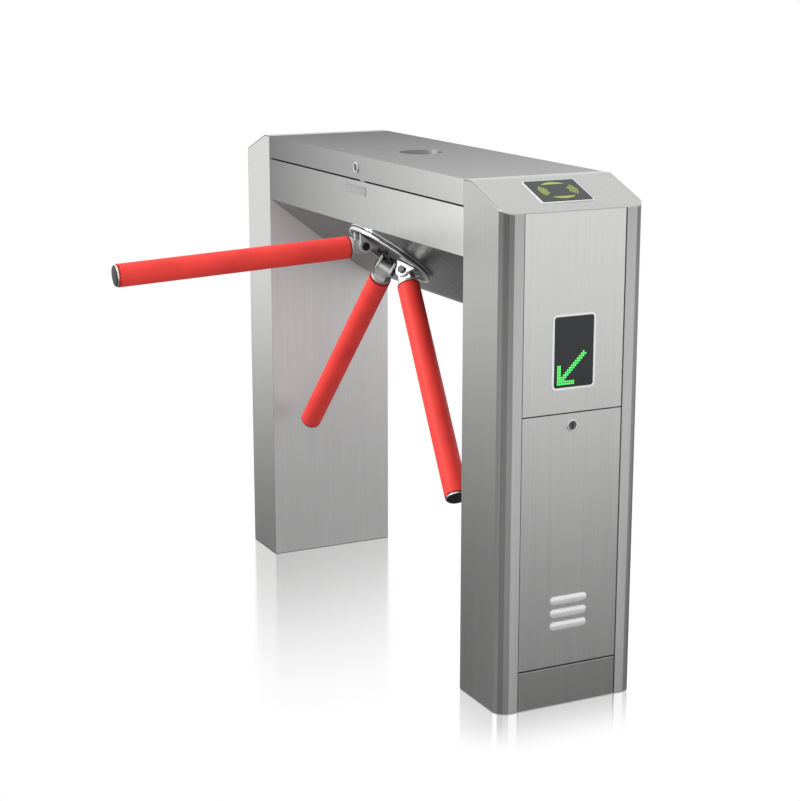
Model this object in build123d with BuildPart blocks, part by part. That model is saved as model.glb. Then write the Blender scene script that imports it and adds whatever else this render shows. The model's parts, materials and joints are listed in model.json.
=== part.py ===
from build123d import *
from math import atan, cos, degrees, radians, sin, tan
import os

os.makedirs("parts", exist_ok=True)

# Bridge-type tripod turnstile, in millimetres. The origin is the centre of the footprint on the floor.
# +X runs along the bridge to the pillar with the card reader, the arms reach out to -Y, and +Z is up.

# ---- Driving dimensions: cabinet ----
length = 1200.0  # over both pillars
depth = 288.0  # front to back
height = 960.0
pillar_length = 148.0  # each pillar, along X
cap_flat = 28.0  # level strip of a cap before its slope
cap_drop = 45.0  # height that the cap's slope loses
corner_radius = 25.0  # outer upright corners of a pillar
sheet = 1.5  # cabinet sheet
cap_sheet = 2.0
flange_width = 40.0  # strip each side of the end panels
return_depth = 18.0  # how far the flange turns back into the pillar
seat_width = 14.0  # inner seat of the end panels
panel_recess = 1.0
panel_gap = 1.5
door_fold = 14.0  # turned edges of a door
foot_thick = 8.0
kick_height = 74.0
kick_seam, door_seam = 3.0, 2.0  # under and over a door
door_top = 551.5
anchor_r = 7.0
anchor_edge_x, anchor_edge_y = 32.0, 44.0  # from a foot plate's edges to its anchor holes

# ---- Driving dimensions: bridge and lid ----
lid_height = 48.0  # lip of the lid, with its top sheet
lid_seam = 3.0
lid_side_gap = 1.0
apron_height = 88.0  # upright front of the bridge, under the lid's seam
belly_angle = 37.5  # below level
belly_curve = 84.0  # depth of the curved stretch at the back
belly_curve_drop = 36.5
top_flange = 22.0  # turned-in top edge of the bridge body
cable_way_width, cable_way_height = 120.0, 90.0  # between bridge and pillar
cable_way_back, cable_way_down = 104.0, 110.0  # its middle, from the back face and the apron's top
m8_r, m8_hole_r = 4.0, 4.2
hex_r, hex_height = 7.5, 6.0  # heads and nuts of the M8 bolts
bridge_bolt_edge = 34.0  # from the bridge's faces
bridge_bolt_down, bridge_bolt_step = 35.0, 30.0  # from the apron's top, and between the front two
bridge_bolt_up = 70.0  # from the bottom edge of the back
lid_cup_radius = 46.0
lid_cup_depth = 10.0
lid_cup_wall, lid_cup_rim = 2.0, 10.0

# ---- Driving dimensions: tripod ----
hub_down = 98.0  # from the apron's bottom edge down the belly to the hub axis
arm_cone = 49.5  # between an arm and the hub axis
rest_turn = 3.5  # how far past square the tripod rests
disc_radius = 97.5
disc_thick = 8.0
disc_stand = 3.5  # belly to the disc's back face
belly_hole_r = 42.0
pin_stand = 26.0  # belly to the plane of the three pivot bolts
pin_radius_out = 60.0  # hub axis to a pivot bolt
pin_r = 6.0
ear_thick = 5.0
ear_gap = 26.0
ear_r = 14.0
ear_base = 25.0
arm_length = 512.0  # pivot bolt to the tip of the end cap
sleeve_start = 29.0
tube_r = 19.0
sleeve_wall = 3.5
tube_wall = 2.0
cap_thick = 6.0
running = 0.05  # radial clearance of a running fit
side_play = 0.3  # each side of a tongue between its ears

# ---- Driving dimensions: mechanism, along the hub axis inside the belly ----
plate_thick = 8.0
plate_length, plate_width = 260.0, 180.0
housing_flange_r, housing_flange = 62.0, 8.0
bearing_out, bearing_in, bearing_width = 27.5, 15.0, 13.0
ring_wall = 4.0
bearing_span = 22.0  # between the two bearings
housing_r = 36.0
wheel_r, wheel_thick, notch_depth, notch_width = 52.0, 10.0, 11.0, 13.0
encoder_r, encoder_thick = 62.0, 1.5
bolt_r, bolt_travel, bolt_tip_gap = 5.0, 10.0, 2.0

# ---- Worked-out values ----
half_length, half_depth = length / 2, depth / 2
inner_x = half_length - pillar_length
slope_length_x = pillar_length - cap_flat
cap_angle = degrees(atan(cap_drop / slope_length_x))
panel_half = half_depth - flange_width
face_x = half_length - panel_recess
panel_fold = return_depth - panel_recess - sheet  # fixed panels rest on the seats
door_bottom = kick_height + kick_seam
panel_bottom = door_top + door_seam
lid_bottom = height - lid_height + 1.0
apron_top = lid_bottom - lid_seam
belly_start = apron_top - apron_height  # height where the apron ends and the belly slopes back
curve_y = half_depth - belly_curve
curve_z = belly_start - (curve_y + half_depth) * tan(radians(belly_angle))
back_z = curve_z - belly_curve_drop
cable_way = (half_depth - cable_way_back, apron_top - cable_way_down)
bridge_bolt_points = (
    (-half_depth + bridge_bolt_edge, apron_top - bridge_bolt_down),
    (half_depth - bridge_bolt_edge, apron_top - bridge_bolt_down),
    (-half_depth + bridge_bolt_edge, apron_top - bridge_bolt_down - bridge_bolt_step),
    (half_depth - bridge_bolt_edge, back_z + bridge_bolt_up),
)
plate_inner = -sheet - plate_thick
sleeve_r = tube_r + sleeve_wall
lid_lock_z = height - lid_height / 2

hub = Plane(
    origin=(
        0,
        -half_depth + hub_down * cos(radians(belly_angle)),
        belly_start - hub_down * sin(radians(belly_angle)),
    ),
    x_dir=(1, 0, 0),
    z_dir=(0, -sin(radians(belly_angle)), -cos(radians(belly_angle))),
)


hub_axis = Axis(hub.origin, hub.z_dir)


def save(part, name):
    """Labels a finished piece and writes it as its own STEP file."""
    part.label = name
    export_step(part, f"parts/{name}.step")


def hub_plane(out, turn=0.0):
    """A plane square to the hub axis, out along it from the belly, turned about it."""
    turned = hub.x_dir * cos(radians(turn)) + hub.y_dir * sin(radians(turn))
    return Plane(origin=hub.from_local_coords((0, 0, out)), x_dir=turned, z_dir=hub.z_dir)


# ======== Pillars ========
def cap_band(low, high):
    """The bent section in XZ between two depths below the cap's outer face, behind the cabinet."""
    ridge = half_length - slope_length_x
    bend = tan(radians(cap_angle / 2))
    reach = slope_length_x + 20
    with BuildSketch(Plane.XZ.offset(-half_depth - 5)) as band:
        with BuildLine():
            Polyline(
                (inner_x - 5, height - low),
                (ridge - low * bend, height - low),
                (ridge + reach, height - low - (reach + low * bend) * tan(radians(cap_angle))),
                (ridge + reach, height - high - (reach + high * bend) * tan(radians(cap_angle))),
                (ridge - high * bend, height - high),
                (inner_x - 5, height - high),
                close=True,
            )
        make_face()
    return band.sketch


def pillar_outline():
    """The pillar's plan, square inside and rounded at its two outer corners."""
    with BuildSketch(Plane.XY) as plan:
        with Locations((inner_x + pillar_length / 2, 0)):
            Rectangle(pillar_length, depth)
        outer = plan.vertices().group_by(Axis.X)[-1]
        fillet(outer, corner_radius)
    return plan.sketch


pillar_plan = pillar_outline()
above_cap = cap_band(cap_sheet, -200)
pillar_inside = offset(pillar_plan, amount=-sheet)

with BuildPart() as near_shell:
    with BuildSketch(Plane.XY):
        add(pillar_plan)
        add(pillar_inside, mode=Mode.SUBTRACT)
    extrude(amount=height)
    # opening for the end panels, with turned-back edges and seats
    with BuildSketch(Plane.XY):
        with Locations((half_length, 0)):
            Rectangle(4 * sheet, 2 * panel_half, align=(Align.CENTER, Align.CENTER))
    extrude(amount=height, mode=Mode.SUBTRACT)
    with BuildSketch(Plane.XY):
        for side in (-1, 1):
            with Locations((half_length - return_depth / 2, side * (panel_half + sheet / 2))):
                Rectangle(return_depth, sheet)
            with Locations(
                (half_length - return_depth - sheet / 2, side * (panel_half + sheet - seat_width / 2))
            ):
                Rectangle(sheet, seat_width)
    extrude(amount=height)
    # the top follows the underside of the cap
    extrude(above_cap, amount=depth + 10, mode=Mode.SUBTRACT)
    # pass-through for cables, and four bolt holes into the bridge
    with BuildSketch(Plane.YZ.offset(inner_x - 1)):
        with Locations(cable_way):
            RectangleRounded(cable_way_width, cable_way_height, 10)
        with Locations(*bridge_bolt_points):
            Circle(m8_hole_r)
    extrude(amount=sheet + 2, mode=Mode.SUBTRACT)
save(near_shell.part, "near_pillar_shell")

with BuildPart() as far_shell:
    mirror(near_shell.part, about=Plane.YZ)
save(far_shell.part, "far_pillar_shell")

# ---- Caps: one bent plate each, level and then sloped ----
slope = Plane(
    origin=(half_length - slope_length_x, 0, height),
    x_dir=(cos(radians(cap_angle)), 0, -sin(radians(cap_angle))),
    z_dir=(sin(radians(cap_angle)), 0, cos(radians(cap_angle))),
)
reader_width, reader_length = 102.0, 77.0  # across and down the slope
reader_down = 58.0  # ridge to the middle of the reader
reader_rest = 5.0  # edge of the pad that rests on the cap
reader_hole_width, reader_hole_length = reader_width - 2 * reader_rest, reader_length - 2 * reader_rest
reader_r, reader_frame, reader_frame_proud = 3.0, 2.5, 1.5
reader_proud, reader_edge_r = 2.5, 0.6
housing_deep, housing_slack = 16.0, 0.5
reader_gland_r, reader_gland_deep, reader_gland_down = 6.0, 6.0, 20.0

with BuildPart() as cap_blank:
    with BuildSketch(Plane.XY.offset(height - cap_drop - 30)):
        add(pillar_plan)
    extrude(amount=cap_drop + 60)
    extrude(cap_band(0, cap_sheet), amount=depth + 10, mode=Mode.INTERSECT)
with BuildPart() as cap_plates:
    add(cap_blank.part)
    with BuildSketch(slope.offset(-2 * cap_sheet)):
        with Locations((reader_down, 0)):
            Rectangle(reader_hole_length, reader_hole_width)
    extrude(amount=4 * cap_sheet, mode=Mode.SUBTRACT)
    mirror(cap_blank.part, about=Plane.YZ)
save(cap_plates.part, "cap_plates")

# ---- Card reader on the near cap ----
with BuildPart() as reader_bezel:
    with BuildSketch(slope):
        with Locations((reader_down, 0)):
            RectangleRounded(
                reader_length + 2 * reader_frame, reader_width + 2 * reader_frame, reader_r + 2
            )
            RectangleRounded(reader_length, reader_width, reader_r, mode=Mode.SUBTRACT)
    extrude(amount=reader_frame_proud)
with BuildPart() as reader_face:
    with BuildSketch(slope):
        with Locations((reader_down, 0)):
            RectangleRounded(reader_length, reader_width, reader_r)
    extrude(amount=reader_proud)
    fillet(reader_face.faces().sort_by(Axis((0, 0, 0), slope.z_dir))[-1].edges(), reader_edge_r)
save(reader_face.part, "reader_face")
with BuildPart() as reader_housing:
    with BuildSketch(slope):
        with Locations((reader_down, 0)):
            Rectangle(reader_hole_length - 2 * housing_slack, reader_hole_width - 2 * housing_slack)
    extrude(amount=-housing_deep)
    with BuildSketch(slope.offset(-housing_deep)):
        with Locations((reader_down + reader_gland_down, 0)):
            Circle(reader_gland_r)
    extrude(amount=-reader_gland_deep)
save(reader_housing.part, "reader_housing")

# ---- Foot plates, bolted to the floor ----
anchor_outer_x, anchor_inner_x = half_length - anchor_edge_x, inner_x + anchor_edge_x
anchor_y = half_depth - anchor_edge_y
gland_r, foot_gap = 20.0, 1.0
with BuildPart() as feet:
    with BuildSketch(Plane.XY):
        add(pillar_inside)
        with Locations(
            (anchor_outer_x, -anchor_y), (anchor_outer_x, anchor_y),
            (anchor_inner_x, -anchor_y), (anchor_inner_x, anchor_y),
        ):
            Circle(anchor_r, mode=Mode.SUBTRACT)
        with Locations((inner_x + pillar_length / 2, 0)):
            Circle(gland_r, mode=Mode.SUBTRACT)
        with Locations((half_length, 0)):
            Rectangle(
                2 * (return_depth + sheet + foot_gap),
                2 * (panel_half + sheet + foot_gap),
                mode=Mode.SUBTRACT,
            )
    extrude(amount=foot_thick)
    mirror(about=Plane.YZ)
save(feet.part, "foot_plates")

# Rubber grommets where the floor cables come up through the foot plates
grommet_lip, grommet_wall, grommet_head, grommet_up = 5.0, 5.0, 3.0, 1.0
with BuildPart() as grommets:
    for side in (-1, 1):
        with BuildSketch(Plane.XY.offset(foot_thick)):
            with Locations((side * (inner_x + pillar_length / 2), 0)):
                Circle(gland_r + grommet_lip)
        extrude(amount=grommet_head)
        with BuildSketch(Plane.XY.offset(grommet_up)):
            with Locations((side * (inner_x + pillar_length / 2), 0)):
                Circle(gland_r)
        extrude(amount=foot_thick)
        with BuildSketch(Plane.XY.offset(grommet_up)):
            with Locations((side * (inner_x + pillar_length / 2), 0)):
                Circle(gland_r - grommet_wall)
        extrude(amount=foot_thick + grommet_head, mode=Mode.SUBTRACT)
save(grommets.part, "cable_grommets")


# ---- End panels: shallow trays with turned edges ----
def tray(low, high, folds):
    """A tray that closes the end opening between two heights, open towards the inside."""
    width = 2 * (panel_half - panel_gap)
    middle = (low + high) / 2
    with BuildSketch(Plane.YZ.offset(face_x)) as front:
        with Locations((0, middle)):
            Rectangle(width, high - low)
    extrude(front.sketch, amount=-sheet - folds)
    with BuildSketch(Plane.YZ.offset(face_x - sheet)) as hollow:
        with Locations((0, middle)):
            Rectangle(width - 2 * sheet, high - low - 2 * sheet)
    extrude(hollow.sketch, amount=-folds, mode=Mode.SUBTRACT)


window_width, window_height, window_r = 81.0, 128.0, 5.0
window_z = panel_bottom + 110.5
panel_top = height - cap_drop + 12

with BuildPart() as far_panel_blank:
    tray(panel_bottom, panel_top, panel_fold)
    extrude(above_cap, amount=depth + 10, mode=Mode.SUBTRACT)
with BuildPart() as near_panel:
    add(far_panel_blank.part)
    with BuildSketch(Plane.YZ.offset(face_x - 3 * sheet)):
        with Locations((0, window_z)):
            RectangleRounded(window_width, window_height, window_r)
    extrude(amount=6 * sheet, mode=Mode.SUBTRACT)
save(near_panel.part, "near_upper_panel")
with BuildPart() as far_panel:
    mirror(far_panel_blank.part, about=Plane.YZ)
save(far_panel.part, "far_upper_panel")

with BuildPart() as kicks:
    tray(0, kick_height, panel_fold)
    mirror(about=Plane.YZ)
save(kicks.part, "kick_plates")

# ---- Direction display behind the window ----
bezel_width, bezel_proud = 4.0, 1.2
glass_thick, glass_proud, glass_slack = 2.4, 0.4, 0.2
lamp_board_deep, lamp_board_thick, lamp_block, lamp_block_edge = 12.0, 2.0, 6.0, 3.0
lamp_board_side, lamp_board_end, standoff_r = 5.0, 6.0, 3.0
with BuildPart() as display_bezel:
    with BuildSketch(Plane.YZ.offset(face_x)):
        with Locations((0, window_z)):
            RectangleRounded(
                window_width + 2 * bezel_width, window_height + 2 * bezel_width, window_r + bezel_width
            )
            RectangleRounded(window_width, window_height, window_r, mode=Mode.SUBTRACT)
    extrude(amount=bezel_proud)
with BuildPart() as bezels:
    add([reader_bezel.part, display_bezel.part])
save(bezels.part, "reader_and_display_bezels")
with BuildPart() as display_glass:
    with BuildSketch(Plane.YZ.offset(face_x + glass_proud - glass_thick)):
        with Locations((0, window_z)):
            RectangleRounded(window_width - 2 * glass_slack, window_height - 2 * glass_slack, window_r)
    extrude(amount=glass_thick)
save(display_glass.part, "display_glass")
with BuildPart() as display_board:
    with BuildSketch(Plane.YZ.offset(face_x - lamp_board_deep)):
        with Locations((0, window_z)):
            Rectangle(window_width + 2 * lamp_board_side, window_height + 2 * lamp_board_end)
    extrude(amount=lamp_board_thick)
    lamp_face = face_x - lamp_board_deep + lamp_board_thick
    with BuildSketch(Plane.YZ.offset(lamp_face)):
        with Locations((0, window_z)):
            Rectangle(window_width - 2 * lamp_block_edge, window_height - 2 * lamp_block_edge)
    extrude(amount=lamp_block)
    for edge in (-1, 1):
        with BuildSketch(Plane.YZ.offset(lamp_face)):
            with Locations((0, window_z + edge * (window_height + lamp_board_end) / 2)):
                Circle(standoff_r)
        extrude(amount=face_x - sheet - lamp_face)
save(display_board.part, "display_board")

# ---- Doors, tilting out on two bottom pins ----
pivot_x, pivot_z, pivot_r = half_length - 6.0, door_bottom + 5.2, 3.0
lock_r, lock_wall, lock_bezel_r, lock_proud = 8.0, 2.0, 11.0, 2.0
keyway_width, keyway_length, keyway_deep = 1.8, 9.0, 4.0
door_lock_z = door_top - 22.5
vent_length, vent_height, vent_pitch = 77.0, 16.0, 24.5
vent_mid = door_bottom + 101.5
vent_rim, hood_proud, hood_round, hood_wall, hood_lip = 3.0, 4.5, 4.2, 1.2, 4.0
hood_mouth_end, hood_mouth_deep = 15.0, 1.6
cam_width, cam_thick, cam_reach, cam_rim = 12.0, 2.5, 36.0, 1.0
cam_x = face_x - sheet - panel_fold - 4.0  # outer side of the door cam, behind the panel's fold

with BuildPart() as near_door:
    tray(door_bottom, door_top, door_fold)
    with BuildSketch(Plane.XZ.offset(-panel_half)):
        with Locations((pivot_x, pivot_z)):
            Circle(pivot_r + running)
    extrude(amount=2 * panel_half, mode=Mode.SUBTRACT)
    with BuildSketch(Plane.YZ.offset(face_x - 3 * sheet)):
        with Locations((0, door_lock_z)):
            Circle(lock_r + lock_wall)
        with Locations(*[(0, vent_mid + n * vent_pitch) for n in (-1, 0, 1)]):
            SlotOverall(vent_length - 2 * vent_rim, vent_height - 2 * vent_rim)
    extrude(amount=6 * sheet, mode=Mode.SUBTRACT)
save(near_door.part, "near_door_panel")
with BuildPart() as far_door:
    mirror(near_door.part, about=Plane.YZ)
save(far_door.part, "far_door_panel")

# Pressed hoods over the three vents, open along their lower edge
with BuildPart() as hood:
    with BuildSketch(Plane.YZ.offset(face_x)):
        with Locations((0, vent_mid)):
            SlotOverall(vent_length, vent_height)
    extrude(amount=hood_proud)
    fillet(hood.faces().sort_by(Axis.X)[-1].edges(), hood_round)
    with BuildSketch(Plane.YZ.offset(face_x)):
        with Locations((0, vent_mid)):
            SlotOverall(vent_length - 2 * hood_lip, vent_height - 2 * hood_lip)
    extrude(amount=hood_proud - hood_wall, mode=Mode.SUBTRACT)
    with BuildSketch(Plane.YZ.offset(face_x)):
        with Locations((0, vent_mid - vent_height / 4)):
            Rectangle(vent_length - 2 * hood_mouth_end, vent_height / 2 + 2)
    extrude(amount=hood_mouth_deep, mode=Mode.SUBTRACT)
with BuildPart() as near_vents:
    with Locations(*[(0, 0, n * vent_pitch) for n in (-1, 0, 1)]):
        add(hood.part)
save(near_vents.part, "near_vent_hoods")
with BuildPart() as far_vents:
    mirror(near_vents.part, about=Plane.YZ)
save(far_vents.part, "far_vent_hoods")

# Pivot pins riveted through the turned-back edges of the shells
with BuildPart() as door_pins:
    for end in (-1, 1):
        for side in (-1, 1):
            with BuildSketch(Plane.XZ.offset(-side * panel_half)):
                with Locations((end * pivot_x, pivot_z)):
                    Circle(pivot_r)
            extrude(amount=side * (panel_gap + sheet + 3))
save(door_pins.part, "door_pivot_pins")


# Fixed barrel of a door lock, with its round escutcheon on the door's face
with BuildPart() as near_lock_sleeve:
    with BuildSketch(Plane.YZ.offset(face_x)):
        with Locations((0, door_lock_z)):
            Circle(lock_bezel_r)
    extrude(amount=lock_proud)
    with BuildSketch(Plane.YZ.offset(cam_x + 1)):
        with Locations((0, door_lock_z)):
            Circle(lock_r + lock_wall)
    extrude(amount=face_x - cam_x - 1)
    with BuildSketch(Plane.YZ.offset(cam_x)):
        with Locations((0, door_lock_z)):
            Circle(lock_r)
    extrude(amount=face_x - cam_x + 5, mode=Mode.SUBTRACT)
save(near_lock_sleeve.part, "near_door_lock_sleeve")
with BuildPart() as far_lock_sleeve:
    mirror(near_lock_sleeve.part, about=Plane.YZ)
save(far_lock_sleeve.part, "far_door_lock_sleeve")

# Turning plug with its cam, which stands level when the door is free
with BuildPart() as near_lock_plug:
    with BuildSketch(Plane.YZ.offset(cam_x)):
        with Locations((0, door_lock_z)):
            Circle(lock_r - running)
    extrude(amount=face_x - cam_x + lock_proud)
    with BuildSketch(Plane.YZ.offset(face_x + lock_proud)):
        with Locations((0, door_lock_z)):
            Rectangle(keyway_width, keyway_length)
    extrude(amount=-keyway_deep, mode=Mode.SUBTRACT)
    with BuildSketch(Plane.YZ.offset(cam_x)):
        with Locations((-cam_reach / 2, door_lock_z)):
            Rectangle(cam_reach, cam_width)
        with Locations((0, door_lock_z)):
            Circle(cam_width / 2 + cam_rim)
    extrude(amount=-cam_thick)
save(near_lock_plug.part, "near_door_lock_plug")
with BuildPart() as far_lock_plug:
    mirror(near_lock_plug.part, about=Plane.YZ)
save(far_lock_plug.part, "far_door_lock_plug")

# ======== Bridge ========
# Section of the bridge body in YZ: apron, sloped belly, curved bottom and back
with BuildSketch(Plane.YZ) as bridge_outline:
    with BuildLine():
        Polyline((-half_depth, apron_top), (-half_depth, belly_start), (curve_y, curve_z))
        TangentArc(
            (curve_y, curve_z),
            (half_depth, back_z),
            tangent=(cos(radians(belly_angle)), -sin(radians(belly_angle))),
        )
        Polyline((half_depth, back_z), (half_depth, apron_top), (-half_depth, apron_top))
    make_face()
    fillet(bridge_outline.vertices().group_by(Axis.X)[-1].sort_by(Axis.Y)[0], 10)
bridge_section = bridge_outline.sketch_local
bridge_hollow = offset(bridge_section, amount=-sheet)

with BuildPart() as bridge:
    with BuildSketch(Plane.YZ.offset(-inner_x)):
        add(bridge_section)
        add(bridge_hollow, mode=Mode.SUBTRACT)
    extrude(amount=2 * inner_x)
    with BuildSketch(Plane.XY.offset(apron_top + 1)):
        Rectangle(2 * inner_x, 2 * (half_depth - top_flange))
    extrude(amount=-sheet - 3, mode=Mode.SUBTRACT)
    with BuildSketch(hub_plane(-10)):
        Circle(belly_hole_r)
    extrude(amount=20, mode=Mode.SUBTRACT)
save(bridge.part, "bridge_body")

# Flat frames inside the ends of the bridge, where it bolts to the pillars
frame_thick = 3.0
with BuildPart() as end_frames:
    with BuildSketch(Plane.YZ.offset(inner_x - frame_thick)):
        add(bridge_hollow)
        with Locations(cable_way):
            RectangleRounded(cable_way_width + 30, cable_way_height + 20, 10, mode=Mode.SUBTRACT)
        with Locations(*bridge_bolt_points):
            Circle(m8_hole_r, mode=Mode.SUBTRACT)
    extrude(amount=frame_thick)
    mirror(about=Plane.YZ)
save(end_frames.part, "bridge_end_frames")

with BuildPart() as bridge_bolts:
    for end in (-1, 1):
        for point in bridge_bolt_points:
            with BuildSketch(Plane.YZ.offset(end * (inner_x - frame_thick))):
                with Locations(point):
                    RegularPolygon(hex_r, 6)
            extrude(amount=-end * hex_height)
            with BuildSketch(Plane.YZ.offset(end * (inner_x - frame_thick))):
                with Locations(point):
                    Circle(m8_r)
            extrude(amount=end * (frame_thick + sheet))
            with BuildSketch(Plane.YZ.offset(end * (inner_x + sheet))):
                with Locations(point):
                    RegularPolygon(hex_r, 6)
            extrude(amount=end * hex_height)

# ---- Blank badge plate on the apron ----
badge_length, badge_height, badge_edge = 96.0, 18.0, 3.0
badge_thick, badge_sunk, badge_r = 1.0, 0.4, 2.0
badge_at = (-4.0, apron_top - 18.0)
with BuildPart() as badge:
    with BuildSketch(Plane.XZ.offset(half_depth)):
        with Locations(badge_at):
            RectangleRounded(badge_length, badge_height, badge_r)
    extrude(amount=badge_thick)
    with BuildSketch(Plane.XZ.offset(half_depth + badge_thick)):
        with Locations(badge_at):
            RectangleRounded(badge_length - 2 * badge_edge, badge_height - 2 * badge_edge, badge_r)
    extrude(amount=-badge_sunk, mode=Mode.SUBTRACT)
save(badge.part, "badge_plate")

# ---- Lid: a box open below, with a round cup in its top ----
lid_half = inner_x - lid_side_gap
with BuildPart() as lid:
    with BuildSketch(Plane.XY.offset(lid_bottom)):
        Rectangle(2 * lid_half, depth)
    extrude(amount=height - lid_bottom)
    with BuildSketch(Plane.XY.offset(lid_bottom - 1)):
        Rectangle(2 * (lid_half - sheet), depth - 2 * sheet)
    extrude(amount=height - lid_bottom + 1 - sheet, mode=Mode.SUBTRACT)
    with BuildSketch(Plane.XY.offset(height - 5)):
        Circle(lid_cup_radius)
    extrude(amount=10, mode=Mode.SUBTRACT)
    with BuildSketch(Plane.XZ.offset(half_depth - 5)):
        with Locations((0, lid_lock_z)):
            Circle(lock_r + lock_wall)
    extrude(amount=10, mode=Mode.SUBTRACT)
save(lid.part, "lid_panel")

with BuildPart() as lid_cup:
    with BuildSketch(Plane.XY.offset(height - lid_cup_depth)):
        Circle(lid_cup_radius)
    extrude(amount=lid_cup_depth)
    with BuildSketch(Plane.XY.offset(height - lid_cup_depth + lid_cup_wall)):
        Circle(lid_cup_radius - lid_cup_wall)
    extrude(amount=lid_cup_depth, mode=Mode.SUBTRACT)
    with BuildSketch(Plane.XY.offset(height - sheet - lid_cup_wall)):
        Circle(lid_cup_radius + lid_cup_rim)
        Circle(lid_cup_radius, mode=Mode.SUBTRACT)
    extrude(amount=lid_cup_wall)
save(lid_cup.part, "lid_blanking_cup")

# ---- Lid hinges: two butt hinges on the back ----
hinge_pin_r, knuckle_r, leaf = 2.5, 4.0, 2.0
hinge_y, hinge_z = half_depth + knuckle_r, lid_bottom - lid_seam / 2
hinge_width, hinge_at = 80.0, inner_x - 152.0
knuckle = hinge_width / 5
knuckle_gap, neck = 0.2, 6.0  # neck: from the pin to the leaf's flat
leaf_height, leaf_middle = 21.0, 15.0


def hinge_leaf(up, parity):
    """One leaf at x = 0 with every other knuckle. up is 1 for the lid's leaf, -1 for the fixed one."""
    with BuildPart() as one:
        with BuildSketch(Plane.XZ.offset(-half_depth)):
            with Locations((0, hinge_z + up * leaf_middle)):
                Rectangle(hinge_width, leaf_height)
        extrude(amount=-leaf)
        for n in range(5):
            if n % 2 == parity:
                with BuildSketch(Plane.YZ.offset(-hinge_width / 2 + n * knuckle + knuckle_gap)):
                    with Locations((hinge_y, hinge_z)):
                        Circle(knuckle_r)
                    with Locations((half_depth + leaf / 2, hinge_z + up * neck / 2)):
                        Rectangle(leaf, neck)
                extrude(amount=knuckle - 2 * knuckle_gap)
        with BuildSketch(Plane.YZ.offset(-hinge_width)):
            with Locations((hinge_y, hinge_z)):
                Circle(hinge_pin_r + running)
        extrude(amount=2 * hinge_width, mode=Mode.SUBTRACT)
    return one.part


with BuildPart() as fixed_leaves:
    with Locations((-hinge_at, 0, 0), (hinge_at, 0, 0)):
        add(hinge_leaf(-1, 0))
with BuildPart() as lid_leaves:
    with Locations((-hinge_at, 0, 0), (hinge_at, 0, 0)):
        add(hinge_leaf(1, 1))
save(lid_leaves.part, "lid_hinge_lid_leaves")
with BuildPart() as hinge_pins:
    for at in (-hinge_at, hinge_at):
        with BuildSketch(Plane.YZ.offset(at - hinge_width / 2)):
            with Locations((hinge_y, hinge_z)):
                Circle(hinge_pin_r)
        extrude(amount=hinge_width)
with BuildPart() as fixed_hinges:
    add([fixed_leaves.part, hinge_pins.part])
save(fixed_hinges.part, "lid_hinge_fixed_leaves_and_pins")

# ---- Lid lock: its cam hangs down when free, and swings up to level under the strike's lip ----
lid_cam_y = -half_depth + 18.0
lid_cam_reach, lid_cam_width, lid_cam_play = 19.0, 10.0, 0.3
strike_x, strike_width, strike_sheet = 10.0, 22.0, 2.0
strike_up = 7.0  # from the lock's middle to the underside of the lip
strike_back = 8.0  # from the cam to the upright behind it
strike_over, strike_foot_edge = 1.0, 4.0  # past the cam, and in from the apron's face
with BuildPart() as lid_lock_sleeve:
    with BuildSketch(Plane.XZ.offset(half_depth)):
        with Locations((0, lid_lock_z)):
            Circle(lock_bezel_r)
            Circle(lock_r, mode=Mode.SUBTRACT)
    extrude(amount=lock_proud)
    with BuildSketch(Plane.XZ.offset(-lid_cam_y)):
        with Locations((0, lid_lock_z)):
            Circle(lock_r + lock_wall)
            Circle(lock_r, mode=Mode.SUBTRACT)
    extrude(amount=lid_cam_y + half_depth)
save(lid_lock_sleeve.part, "lid_lock_sleeve")
with BuildPart() as lid_lock_plug:
    with BuildSketch(Plane.XZ.offset(-lid_cam_y - lid_cam_play)):
        with Locations((0, lid_lock_z)):
            Circle(lock_r - running)
    extrude(amount=lid_cam_y + lid_cam_play + half_depth + lock_proud)
    with BuildSketch(Plane.XZ.offset(half_depth + lock_proud)):
        with Locations((0, lid_lock_z)):
            Rectangle(keyway_width, keyway_length)
    extrude(amount=-keyway_deep, mode=Mode.SUBTRACT)
    with BuildSketch(Plane.XZ.offset(-lid_cam_y - lid_cam_play)):
        with Locations((0, lid_lock_z - lid_cam_reach / 2)):
            Rectangle(lid_cam_width, lid_cam_reach)
        with Locations((0, lid_lock_z)):
            Circle(cam_width / 2 + cam_rim)
    extrude(amount=-cam_thick)
save(lid_lock_plug.part, "lid_lock_plug")
with BuildPart() as lid_strike:
    upright_y = lid_cam_y + strike_back
    lip_z = lid_lock_z + strike_up
    foot_y = -half_depth + strike_foot_edge
    with BuildSketch(Plane.XY.offset(apron_top)):
        with Locations((strike_x, upright_y)):
            Rectangle(strike_width, strike_sheet, align=(Align.MIN, Align.MIN))
    extrude(amount=lip_z + strike_sheet - apron_top)
    with BuildSketch(Plane.XY.offset(lip_z)):
        with Locations((strike_x, lid_cam_y - strike_over)):
            Rectangle(
                strike_width, strike_back + strike_over + strike_sheet, align=(Align.MIN, Align.MIN)
            )
    extrude(amount=strike_sheet)
    with BuildSketch(Plane.XY.offset(apron_top)):
        with Locations((strike_x, foot_y)):
            Rectangle(strike_width, upright_y + strike_sheet - foot_y, align=(Align.MIN, Align.MIN))
    extrude(amount=strike_sheet)
save(lid_strike.part, "lid_strike")

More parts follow.
